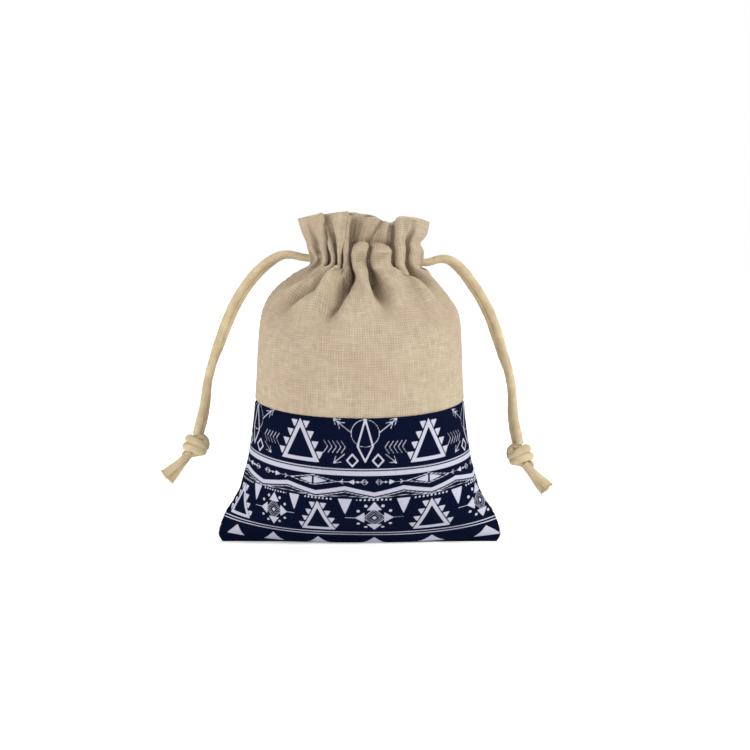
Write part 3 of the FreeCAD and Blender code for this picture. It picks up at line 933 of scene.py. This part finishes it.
def braided_tube(name, line, radius, segments=40, flat=1.0, phase=0.0, relief=BRAID_RELIEF):
    """A braided cord along a line; radius may change along it, flat narrows it one way."""
    along = distances(line)[:, None]
    angle = np.linspace(0, 2 * math.pi, segments, endpoint=False)[None]
    height = braid(along, angle, phase)
    uneven = 1 + 0.025 * np.sin(0.7 * along + 3 * phase) + 0.02 * np.sin(1.9 * along + angle + 5 * phase)
    out = (np.broadcast_to(radius, (len(line),))[:, None] - relief * 0.55) * uneven + relief * height
    rings = rings_round(line, out, angle, flat)
    index, faces = ring_walls(len(line), segments)
    for ring, centre in ((index[0][::-1], index.size), (index[-1], index.size + 1)):
        faces += [(int(a), int(b), centre) for a, b in zip(ring, np.roll(ring, -1))]
    points = np.concatenate([rings.reshape(-1, 3), line[:1], line[-1:]])
    flat_places = np.stack(np.broadcast_arrays(along, angle * CORD_D / 2), -1).reshape(-1, 2)
    uv = np.concatenate([flat_places, np.zeros((2, 2))]) * MM
    return new_mesh(name, points, faces, uv, {"yarn": np.concatenate([height.ravel(), [0.4, 0.4]])})


def joined(name, parts):
    """One object from several, keeping their shapes and materials."""
    bpy.ops.object.select_all(action="DESELECT")
    for part in parts:
        part.select_set(True)
    bpy.context.view_layer.objects.active = parts[0]
    bpy.ops.object.join()
    parts[0].name = name
    parts[0].data.name = name
    return parts[0]


def knot_mesh(name, centre, axis, outer):
    """An overhand knot of both strands: slanting wraps, and a lobe where the strands come in.

    The axis points from the strands to the cut tails.
    """
    centre = np.array(centre, float)
    axis = np.array(axis, float) / np.linalg.norm(axis)
    outer = np.array(outer, float) - axis * (np.array(outer, float) @ axis)
    outer /= np.linalg.norm(outer)
    depth = np.cross(axis, outer)
    depth *= math.copysign(1, depth[1])
    # The wraps climb from the tails to the strands, widest halfway, and lie closer on the inner side.
    turn = np.linspace(-0.35, 2 * math.pi * KNOT_TURNS, 200)
    share = turn / turn[-1]
    rise = KNOT_PITCH * (1.28 - 2.56 * share) + 0.45 * np.sin(turn + KNOT_SLANT)
    closing = 1 - 0.28 * np.cos(turn - math.pi)
    width = KNOT_R * (0.86 + 0.26 * np.sin(math.pi * np.clip(share, 0, 1)) ** 0.8)
    line = (centre + axis * (rise * closing)[:, None] + outer * (width * np.cos(turn))[:, None]
            + depth * (width * 0.96 * np.sin(turn))[:, None])
    line, _ = evenly(line, 260)
    wraps = braided_tube(name + "_wraps", line, WRAP_D / 2, segments=32, phase=0.3)
    # The lobe crosses the top of the knot from the outer side to the inner side.
    top = centre - axis * 2.6 - outer * 1.0
    bow = [
        top + outer * 3.0 + axis * 1.9,
        top + outer * 1.4 - axis * 0.6 - depth * 1.6,
        top - outer * 0.6 - axis * 1.0,
        top - outer * 2.2 + axis * 0.4 + depth * 1.6,
        top - outer * 2.3 + axis * 2.4,
    ]
    lobe_line, _ = spline_points(bow, LINE_STEP)
    lobe = braided_tube(name + "_lobe", lobe_line, WRAP_D / 2 - 0.1, segments=32, phase=0.7)
    # A core fills the knot where the wraps leave gaps.
    core_line = centre + axis * np.linspace(3.3, -3.3, 24)[:, None]
    core_radius = 2.2 * np.sqrt(1 - (np.linspace(-1, 1, 24) * 0.9) ** 2)
    core = braided_tube(name + "_core", core_line, core_radius, segments=24, phase=0.1)
    return joined(name, [wraps, lobe, core])


def frayed_tail(name, route):
    """A cut cord end: braided to near its tip, where its yarns open out."""
    line, _ = spline_points(route, LINE_STEP)
    far = np.linspace(0, 1, len(line))
    # The tail is thinner than the cord, swells towards the cut and is rounded off there.
    radius = CORD_D / 2 * (0.88 + 0.30 * np.clip((far - 0.4) / 0.6, 0, 1) ** 1.5)
    radius[-1] *= 0.8
    parts = [braided_tube(name + "_braid", line, radius, flat=TAIL_FLAT, phase=0.2)]
    ahead, side, up = (direction[-1] for direction in carried_frames(line))
    end = line[-1] - ahead * 0.5
    for k in range(TAIL_YARNS):
        angle = YARN_TURN * k
        out = math.sqrt((k + 0.5) / TAIL_YARNS)
        radial = (side * math.cos(angle) + up * math.sin(angle) * 0.75) * out
        long = rng.uniform(0.9, 1.9)
        bend = rng.normal(0, 0.16, 3)
        opening = 1.75 + 0.5 * rng.random()
        points = [end + radial * 1.25, end + radial * 1.55 + ahead * long * 0.5,
                  end + radial * opening + ahead * long + bend]
        yarn_line, _ = evenly(rounded(points, 2), 9)
        yarn_radius = YARN_R * np.linspace(1.1, 0.35, 9)
        parts.append(braided_tube(f"{name}_yarn_{k}", yarn_line, yarn_radius, segments=6, relief=0.0))
    return joined(name, parts)


def stitch_row(name, line, length, thickness):
    """Short rounded thread stitches one after another along a line."""
    along = distances(line)
    angle = np.linspace(0, 2 * math.pi, STITCH_SEGMENTS, endpoint=False)
    out = (thickness / 2 * STITCH_RADII)[:, None]
    points = []
    faces = []
    uv = []
    start = STITCH_GAP
    while start + length < along[-1]:
        wanted = start + length * STITCH_PLACES
        rings = rings_round(line_at(line, along, wanted), out, angle)
        first = len(points) * len(STITCH_RADII) * STITCH_SEGMENTS
        index, walls = ring_walls(len(STITCH_RADII), STITCH_SEGMENTS, first)
        faces += walls + [index[0][::-1].tolist(), index[-1].tolist()]
        points.append(rings.reshape(-1, 3))
        uv.append(np.stack(np.broadcast_arrays(wanted[:, None], angle[None]), -1).reshape(-1, 2))
        start += length + STITCH_GAP
    points = np.concatenate(points)
    return new_mesh(name, points, faces, np.concatenate(uv) * MM, {"yarn": np.ones(len(points))})


# ---- materials ----
class Surface:
    """A node material under construction, with short calls for the nodes it needs."""

    def __init__(self, name):
        self.material = bpy.data.materials.new(name)
        self.material.use_nodes = True
        self.tree = self.material.node_tree
        self.shader = self.tree.nodes["Principled BSDF"]

    def node(self, kind, **settings):
        made = self.tree.nodes.new(kind)
        for key, value in settings.items():
            setattr(made, key, value)
        return made

    def feed(self, socket, value):
        if hasattr(value, "is_output"):
            self.tree.links.new(value, socket)
        else:
            socket.default_value = value

    def math(self, operation, *values):
        made = self.node("ShaderNodeMath", operation=operation)
        for socket, value in zip(made.inputs, values):
            self.feed(socket, value)
        return made.outputs[0]

    def times(self, one, other):
        return self.math("MULTIPLY", one, other)

    def plus(self, one, other):
        return self.math("ADD", one, other)

    def less(self, one, other):
        return self.math("SUBTRACT", one, other)

    def flat(self):
        """The flat place on the cloth, in millimetres: across and along."""
        scaled = self.node("ShaderNodeVectorMath", operation="SCALE")
        self.feed(scaled.inputs[0], self.node("ShaderNodeUVMap", uv_map="flat").outputs[0])
        scaled.inputs["Scale"].default_value = 1 / MM
        parts = self.node("ShaderNodeSeparateXYZ")
        self.feed(parts.inputs[0], scaled.outputs[0])
        return parts.outputs[0], parts.outputs[1]

    def point(self, x, y, z=0.0):
        made = self.node("ShaderNodeCombineXYZ")
        for socket, value in zip(made.inputs, (x, y, z)):
            self.feed(socket, value)
        return made.outputs[0]

    def noise(self, place, scale, detail=2.0, roughness=0.5):
        made = self.node("ShaderNodeTexNoise")
        self.feed(made.inputs["Vector"], place)
        made.inputs["Scale"].default_value = scale
        made.inputs["Detail"].default_value = detail
        made.inputs["Roughness"].default_value = roughness
        return made.outputs[0]

    def spread(self, value, low, high, new_low=0.0, new_high=1.0):
        made = self.node("ShaderNodeMapRange", clamp=True)
        for socket, number in zip(made.inputs, (value, low, high, new_low, new_high)):
            self.feed(socket, number)
        return made.outputs[0]

    def mix(self, share, one, other):
        made = self.node("ShaderNodeMix", data_type="RGBA")
        self.feed(made.inputs[0], share)
        self.feed(made.inputs[6], one if hasattr(one, "is_output") else (*one, 1))
        self.feed(made.inputs[7], other if hasattr(other, "is_output") else (*other, 1))
        return made.outputs[2]

    def attribute(self, name):
        return self.node("ShaderNodeAttribute", attribute_name=name).outputs["Fac"]

    def relief(self, height, distance, strength=1.0):
        made = self.node("ShaderNodeBump")
        made.inputs["Strength"].default_value = strength
        made.inputs["Distance"].default_value = distance
        self.feed(made.inputs["Height"], height)
        self.feed(self.shader.inputs["Normal"], made.outputs[0])

    def finish(self, colour, roughness, specular, sheen=0.0, sheen_tint=(1, 1, 1)):
        self.feed(self.shader.inputs["Base Color"], colour)
        self.feed(self.shader.inputs["Roughness"], roughness)
        self.shader.inputs["Sheen Weight"].default_value = sheen
        self.shader.inputs["Sheen Roughness"].default_value = 0.5
        self.shader.inputs["Sheen Tint"].default_value = (*sheen_tint, 1)
        self.shader.inputs["Specular IOR Level"].default_value = specular
        return self.material


def woven(s, across, along, pitch):
    """Height of a plain weave and the share of the hole between threads, from flat millimetres."""
    warp = s.math("SINE", s.times(across, math.pi / pitch))
    weft = s.math("SINE", s.times(along, math.pi / pitch))
    warp_top = s.math("ABSOLUTE", warp)
    weft_top = s.math("ABSOLUTE", weft)
    over = s.spread(s.times(warp, weft), -0.4, 0.4)
    height = s.plus(s.times(warp_top, over), s.times(weft_top, s.less(1.0, over)))
    hole = s.times(s.less(1.0, warp_top), s.less(1.0, weft_top))
    return height, hole


def threads(s, across, along, pitch, run):
    """Each thread's own shade, changing slowly along its length."""
    number = s.math("FLOOR", s.math("DIVIDE", across, pitch))
    place = s.point(s.times(number, 7.31), s.math("DIVIDE", along, run))
    return s.noise(place, 1.0, 1.5)


def straying(s, place, scale):
    """How far threads lie from straight, in millimetres."""
    return s.times(s.less(s.noise(place, scale, 2.0), 0.5), 1.3)


def linen_material():
    """Uneven natural yarns in a plain weave, with painted shade in the grooves and holes between the threads
    that grows stronger towards the gathers.
    """
    s = Surface("natural_linen")
    u, v = s.flat()
    stray_u = straying(s, s.point(u, v), 0.16)
    stray_v = straying(s, s.point(v, u), 0.13)
    u = s.plus(u, stray_u)
    v = s.plus(v, stray_v)
    height, hole = woven(s, u, v, LINEN_PITCH)
    warp_shade = threads(s, u, v, LINEN_PITCH, 6.0)
    weft_shade = threads(s, v, u, LINEN_PITCH, 5.0)
    slub = s.spread(s.plus(warp_shade, weft_shade), 0.70, 1.36)
    blotch = s.noise(s.point(u, v), 0.06, 3.0)
    # strength of the painted shade between the threads: uneven, and growing towards the gathers
    gap_shade_strength = s.spread(s.noise(s.point(u, v), 0.11, 2.0), 0.38, 0.6, 0.45, 1.15)
    gap_shade_strength = s.times(gap_shade_strength, s.spread(v, 72.0, 100.0, 0.66, 1.15))
    colour = s.mix(slub, LINEN_DARK, LINEN_LIGHT)
    colour = s.mix(s.spread(blotch, 0.4, 0.66, 0.0, 0.55), colour, LINEN_WARM)
    # painted shade: darker where the threads dip, and darkest in the holes between them
    colour = s.mix(s.times(s.spread(height, 0.0, 0.7, 0.3, 0.0), gap_shade_strength), colour, LINEN_SHADE_BETWEEN_THREADS)
    colour = s.mix(s.times(s.spread(hole, 0.3, 0.9, 0.0, 0.95), gap_shade_strength), colour, LINEN_SHADE_BETWEEN_THREADS)
    fluff = s.noise(s.point(u, v), 6.0, 3.0, 0.6)
    lift = s.plus(height, s.times(slub, 0.7))
    s.relief(s.plus(lift, s.times(fluff, 0.5)), 0.11 * MM, 0.8)
    roughness = s.spread(height, 0.0, 1.0, 0.95, 0.8)
    return s.finish(colour, roughness, specular=0.2, sheen=0.12, sheen_tint=(1.0, 0.95, 0.85))


def print_material():
    """Navy cotton with pale ink wherever a point is inside the ornament."""
    s = Surface("printed_cotton")
    u, v = s.flat()
    height, hole = woven(s, u, v, COTTON_PITCH)
    grain = s.noise(s.point(u, v), 1.8, 3.0, 0.6)
    edge = s.plus(s.attribute("ink"), s.times(s.less(grain, 0.5), 0.12))
    share = s.spread(edge, -0.06, 0.08, 1.0, 0.0)
    ground = s.mix(s.spread(grain, 0.3, 0.7), NAVY_DARK, NAVY_LIGHT)
    print_white = s.mix(s.spread(grain, 0.3, 0.7), INK_SHADE, INK_WHITE)
    colour = s.mix(share, ground, print_white)
    # painted shade: the holes of the weave are darkened to the dark navy
    colour = s.mix(s.spread(hole, 0.3, 0.9, 0.0, 0.35), colour, NAVY_DARK)
    s.relief(s.plus(height, s.times(grain, 0.6)), 0.035 * MM, 0.7)
    return s.finish(colour, s.spread(share, 0.0, 1.0, 0.92, 0.86), specular=0.03)


def cord_material():
    """Cotton yarns, with painted shade between the plaits."""
    s = Surface("cotton_cord")
    u, v = s.flat()
    yarn = s.attribute("yarn")
    fibre = s.noise(s.point(s.times(u, 0.8), s.times(v, 3.0)), 2.4, 4.0, 0.65)
    shade = s.noise(s.point(u, v), 0.22, 2.0)
    colour = s.mix(s.spread(shade, 0.35, 0.65), CORD_DARK, CORD_LIGHT)
    colour = s.mix(s.spread(fibre, 0.35, 0.75, 0.0, 0.35), colour, CORD_WARM)
    # painted shade: darker where the braid's yarns dip between the plaits
    colour = s.mix(s.spread(yarn, 0.1, 0.75, 0.6, 0.0), colour, CORD_SHADE_BETWEEN_PLAITS)
    s.relief(s.plus(fibre, s.times(yarn, 0.5)), 0.09 * MM, 0.8)
    roughness = s.spread(fibre, 0.3, 0.7, 0.75, 0.92)
    return s.finish(colour, roughness, specular=0.2, sheen=0.2, sheen_tint=(1.0, 0.95, 0.82))


def thread_material(name, dark, light):
    """Twisted sewing thread."""
    s = Surface(name)
    u, v = s.flat()
    twist = s.math("SINE", s.plus(s.times(u, 14.0), s.times(v, 2.0 / MM)))
    # painted shade and highlight: the colour follows the twist's relief, darker in its grooves and lighter on
    # its ridges
    colour = s.mix(s.spread(twist, -1.0, 1.0), dark, light)
    s.relief(twist, 0.02 * MM, 0.8)
    return s.finish(colour, 0.7, specular=0.3, sheen=0.1)


def floor_material():
    """A white floor that glows a little, so that it stays as white as the backdrop."""
    s = Surface("white_floor")
    s.shader.inputs["Emission Color"].default_value = (1, 1, 1, 1)
    s.shader.inputs["Emission Strength"].default_value = FLOOR_GLOW
    return s.finish((0.9, 0.9, 0.9, 1), 0.9, specular=0.1)


def wear(piece, material):
    """Give a piece its one material."""
    piece.data.materials.clear()
    piece.data.materials.append(material)


# ---- making ----
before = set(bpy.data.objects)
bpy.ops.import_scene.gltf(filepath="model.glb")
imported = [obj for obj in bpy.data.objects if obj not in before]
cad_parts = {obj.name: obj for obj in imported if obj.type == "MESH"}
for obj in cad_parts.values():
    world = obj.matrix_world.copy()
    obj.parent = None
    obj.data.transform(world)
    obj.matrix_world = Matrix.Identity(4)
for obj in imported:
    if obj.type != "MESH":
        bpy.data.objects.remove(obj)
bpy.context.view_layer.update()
cord_look = cord_material()
linen_look = linen_material()
print_look = print_material()
linen_thread = thread_material("linen_thread", LINEN_THREAD_DARK, LINEN_THREAD_LIGHT)
navy_thread = thread_material("navy_thread", NAVY_THREAD_DARK, NAVY_THREAD_LIGHT)

# ---- the camera, in metres: a long lens, nearly level with the sack ----
VIEW_WIDTH = 0.2625
VIEW_DISTANCE = 1.25
VIEW_TILT = math.radians(2.5)
AIM = (0.0054, 0.0, 0.0583)
camera_data = bpy.data.cameras.new("camera")
camera_data.lens = camera_data.sensor_width * VIEW_DISTANCE / VIEW_WIDTH
camera_data.clip_start = 0.01
camera = bpy.data.objects.new("camera", camera_data)
camera.location = (
    AIM[0],
    AIM[1] - VIEW_DISTANCE * math.cos(VIEW_TILT),
    AIM[2] + VIEW_DISTANCE * math.sin(VIEW_TILT),
)
camera.rotation_euler = (math.pi / 2 - VIEW_TILT, 0, 0)
bpy.context.scene.collection.objects.link(camera)
bpy.context.scene.camera = camera

# ---- the cords' routes: from the slit down to the knot, and each cut tail ----
ROUTES = {
    "left_front": [
        (-22, -1.4, 100), (-25.8, -1.4, 101), (-30, -1.4, 99.6), (-34.9, -1.2, 96.1), (-39.5, -1.2, 91.1),
        (-43.7, -1.1, 84.6), (-47, -1.2, 77.3), (-49.6, -1.3, 69.7), (-51.8, -1.4, 62.5), (-53.6, -1.4, 55.3),
        (-54.5, -1.4, 48), (-56.2, -1.5, 41.5), (-57.2, -1.3, 37.4),
    ],
    "left_back": [
        (-22, 1.4, 100), (-25.8, 1.4, 100.6), (-29.6, 1.4, 98.8), (-33.9, 1.3, 95.1), (-38.3, 1.2, 90.1),
        (-42.3, 1.1, 83.8), (-45.6, 1.1, 76.7), (-48.4, 1.3, 69.3), (-51.4, 1.4, 62.5), (-53.2, 1.4, 55.3),
        (-53.5, 1.4, 48), (-54.8, 1.5, 41.5), (-56.0, 1.3, 37.4),
    ],
    "right_front": [
        (26, -1.4, 98.4), (29.8, -1.4, 99.7), (34.2, -1.4, 97.4), (38.3, -1.3, 93.0), (42.4, -1.2, 87.2),
        (46.2, -1.2, 80.2), (48.7, -1.2, 73), (50.6, -1.3, 65.7), (52.8, -1.4, 58.5), (53.7, -1.4, 51.2),
        (54.1, -1.4, 44), (55.4, -1.5, 38.1), (56.1, -1.3, 34.1),
    ],
    "right_back": [
        (26, 1.4, 98.4), (29.6, 1.4, 99.3), (33.7, 1.4, 96.6), (37.2, 1.3, 92.0), (41.2, 1.2, 86.2),
        (44.8, 1.1, 79.4), (47.3, 1.1, 72.2), (49.6, 1.3, 65.3), (52.4, 1.4, 58.5), (53.3, 1.4, 51.2),
        (53.1, 1.4, 44), (53.9, 1.5, 38.1), (54.9, 1.3, 34.1),
    ],
}
TAILS = {
    "left_front": [(-59.2, -1.2, 31.5), (-62.2, -1.4, 28.6), (-65.3, -1.5, 26.0), (-67.9, -1.3, 24.0)],
    "left_back": [(-59, 1.3, 31.0), (-61.7, 1.3, 27.6), (-64.0, 1.1, 24.3), (-66.2, 1.0, 21.9)],
    "right_front": [(57.7, -1.2, 27.5), (60.7, -1.4, 24.6), (63.6, -1.5, 21.9), (66.0, -1.3, 19.7)],
    "right_back": [(57.4, 1.3, 27.2), (60.1, 1.3, 23.6), (62.2, 1.1, 20.4), (64.4, 1.0, 18.0)],
}
# Each knot's middle, the direction of its axis and the direction of its outer side
KNOTS = {
    "left": ((-57.4, 0, 33.5), (-0.30, 0, -1), (-1, 0, 0.3)),
    "right": ((56.3, 0, 30.1), (0.28, 0, -1), (1, 0, 0.3)),
}
EXITS = {"left": (-22.0, 100.0), "right": (26.0, 98.4)}  # x and height where each cord leaves the casing
BRAID_PHASES = {"front": 0.15, "back": 0.6}


def on_body(piece, body, material, node):
    """Give a piece its material, its body and the CAD node that it stands for."""
    wear(piece, material)
    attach(piece, body)
    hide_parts(node)
    return piece


def pull_end(hand):
    """One pull cord outside the sack: its two strands, the knot that joins them and the frayed tails."""
    body = hand + "_pull_end"
    knot = on_body(knot_mesh(hand + "_overhand_knot", *KNOTS[hand]), body, cord_look, hand + "_knot")
    for face in FACES:
        key = f"{hand}_{face}"
        tail = on_body(frayed_tail(key + "_frayed_tail", TAILS[key]), body, cord_look, key + "_tail")
        line, length = spline_points(ROUTES[key], LINE_STEP)
        strand = braided_tube(key + "_cord", line, CORD_D / 2, phase=BRAID_PHASES[face])
        wear(strand, cord_look)
        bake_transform(strand)
        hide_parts(key + "_strand")


for hand in HANDS:
    pull_end(hand)

# ---- the cloth ----
def shaped_cloth():
    """The settled cloth with its folds, its tufts over the cord and its slits: (side, row, column, xyz)."""
    cloth = settle(first_shape(), SETTLE_STEPS)
    cloth = levelled(merged_folds(ironed(cloth, times=3)), times=10)
    cloth = carved(cloth, 0, FRONT_FOLDS)
    cloth = carved(cloth, 1, BACK_FOLDS)
    return slit_edges_apart(lipped(ironed(cloth, times=1)))


cloth = shaped_cloth()
seam_lines = {}
for side, face in enumerate(FACES):
    linen, points, normal = linen_panel(face + "_linen", cloth[side], side)
    on_body(linen, "sack", linen_look, face + "_linen_panel")
    seam_lines[face] = points, normal
    cotton, points, normal = print_panel(face + "_printed_band", cloth[side], side)
    on_body(cotton, "sack", print_look, face + "_print_panel")
    seam_lines[face + "_print"] = points, normal


def waist_line(face):
    """Where the waist stitches lie, a little sunk into the seam."""
    points, normal = seam_lines[face]
    return points[0, 2:-2] - normal[0, 2:-2] * 0.1


def casing_line(face):
    """Where the casing's upper stitches lie, on the outside of the linen."""
    points, normal = seam_lines[face]
    row = int(round((CASING_TOP_V + 0.6 - WAIST_V) / FINE))
    return points[row, 2:-2] + normal[row, 2:-2] * 0.05


def side_line(column):
    """A side seam from near the bottom to where its thread ends."""
    points, _ = seam_lines["front_print"]
    above, _ = seam_lines["front"]
    last = int((SIDE_STITCH_END_V - WAIST_V) / FINE)
    return np.concatenate([points[4:, column], above[2:last, column]])


def bottom_line():
    """The bottom seam, just off the floor."""
    points, _ = seam_lines["front_print"]
    return points[0, 3:-3] + np.array([0, 0, 0.15])


def sewn(name, line, stitch, thread, node):
    """One row of stitches."""
    on_body(stitch_row(name, line, *stitch), "sack", thread, node)


for face in FACES:
    sewn(face + "_waist_stitches", waist_line(face), SEAM_STITCH, navy_thread, face + "_waist_stitching")
    casing_stitches = face + "_casing_stitches"
    sewn(casing_stitches, casing_line(face), CASING_STITCH, linen_thread, face + "_casing_stitching")
for hand, column in zip(HANDS, (0, -1)):
    sewn(hand + "_seam_stitches", side_line(column), SEAM_STITCH, linen_thread, hand + "_side_stitching")
sewn("bottom_seam_stitches", bottom_line(), SEAM_STITCH, navy_thread, "bottom_stitching")


def inside_pleats(x, z):
    """How far from the middle plane a cord can lie inside the casing, front and back, at places along x."""
    rows = (ROWS_V > CORD_V - 5) & (ROWS_V < CORD_V + 5)
    depth = []
    for side in (0, 1):
        near = cloth[side, rows].reshape(-1, 3)
        near = near[np.abs(near[:, 2] - z) < CASING_NEAR]
        close = [near[np.abs(near[:, 0] - place) < CASING_NEAR, 1] for place in x]
        least = np.array([np.min(np.abs(y), initial=20) for y in close])
        depth.append(np.maximum(least - LINEN - CORD_D / 2 - 0.1, 1.5))
    return depth


def casing_loop(hand):
    """The part of a pull cord that runs round the mouth inside the casing."""
    exit_x, z = EXITS[hand]
    sign = math.copysign(1, exit_x)
    slit = NECK_X + sign * NECK_A
    far = NECK_X - sign * (NECK_A - 3.5)
    x = np.linspace(slit - sign * 4, far, 9)
    front, back = inside_pleats(x, z)
    route = [(exit_x, -1.4, z), (slit + sign * 1.6, -1.5, z - 0.9), (slit - sign * 1.0, -1.6, z - 0.5)]
    route += [(a, -b, z) for a, b in zip(x, front)]
    route += [(a, b, z) for a, b in zip(x[::-1], back[::-1])]
    route += [(slit - sign * 1.0, 1.6, z - 0.5), (slit + sign * 1.6, 1.5, z - 0.9), (exit_x, 1.4, z)]
    line, _ = spline_points(route, LOOP_STEP)
    loop = braided_tube(hand + "_loop_in_casing", line, CORD_D / 2, phase=0.4)
    wear(loop, cord_look)
    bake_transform(loop)
    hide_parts(hand + "_cord_loop")


for hand in HANDS:
    casing_loop(hand)

# ---- floor, backdrop and light ----
FLOOR_RADIUS = 6.0        # in metres
AMBIENT = 0.46            # the white world as the sack sees it; the camera sees it at full strength
bpy.ops.mesh.primitive_circle_add(vertices=96, radius=FLOOR_RADIUS, fill_type="NGON", location=(0, 0, 0))
floor = bpy.context.object
floor.name = "floor"
wear(floor, floor_material())

world = bpy.data.worlds.new("studio")
bpy.context.scene.world = world
world.use_nodes = True
sky = world.node_tree.nodes["Background"]
sky.inputs[0].default_value = (1, 1, 1, 1)
brightness = world.node_tree.nodes.new("ShaderNodeMapRange")
brightness.inputs["To Min"].default_value = AMBIENT
brightness.inputs["To Max"].default_value = 1.0
light_path = world.node_tree.nodes.new("ShaderNodeLightPath")
world.node_tree.links.new(light_path.outputs["Is Camera Ray"], brightness.inputs[0])
world.node_tree.links.new(brightness.outputs[0], sky.inputs[1])
bpy.context.scene.view_settings.view_transform = "Standard"


def wide_light(name, come_from, strength, softness, colour):
    """Parallel light, as soft as a big softbox."""
    data = bpy.data.lights.new(name, "SUN")
    data.energy = strength
    data.angle = math.radians(softness)
    data.color = colour
    lamp = bpy.data.objects.new(name, data)
    lamp.rotation_euler = Vector(come_from).to_track_quat("Z", "Y").to_euler()
    bpy.context.scene.collection.objects.link(lamp)


# The key light comes from the right and the front, the fill from the left, and one from behind.
wide_light("key", (0.84, -0.42, 0.70), 2.4, 20, (1.0, 1.0, 0.94))
wide_light("fill", (-0.95, -0.33, 0.30), 1.75, 50, (1.0, 0.955, 0.92))
wide_light("behind", (0.1, 0.9, 0.55), 1.3, 40, (1.0, 0.98, 0.96))
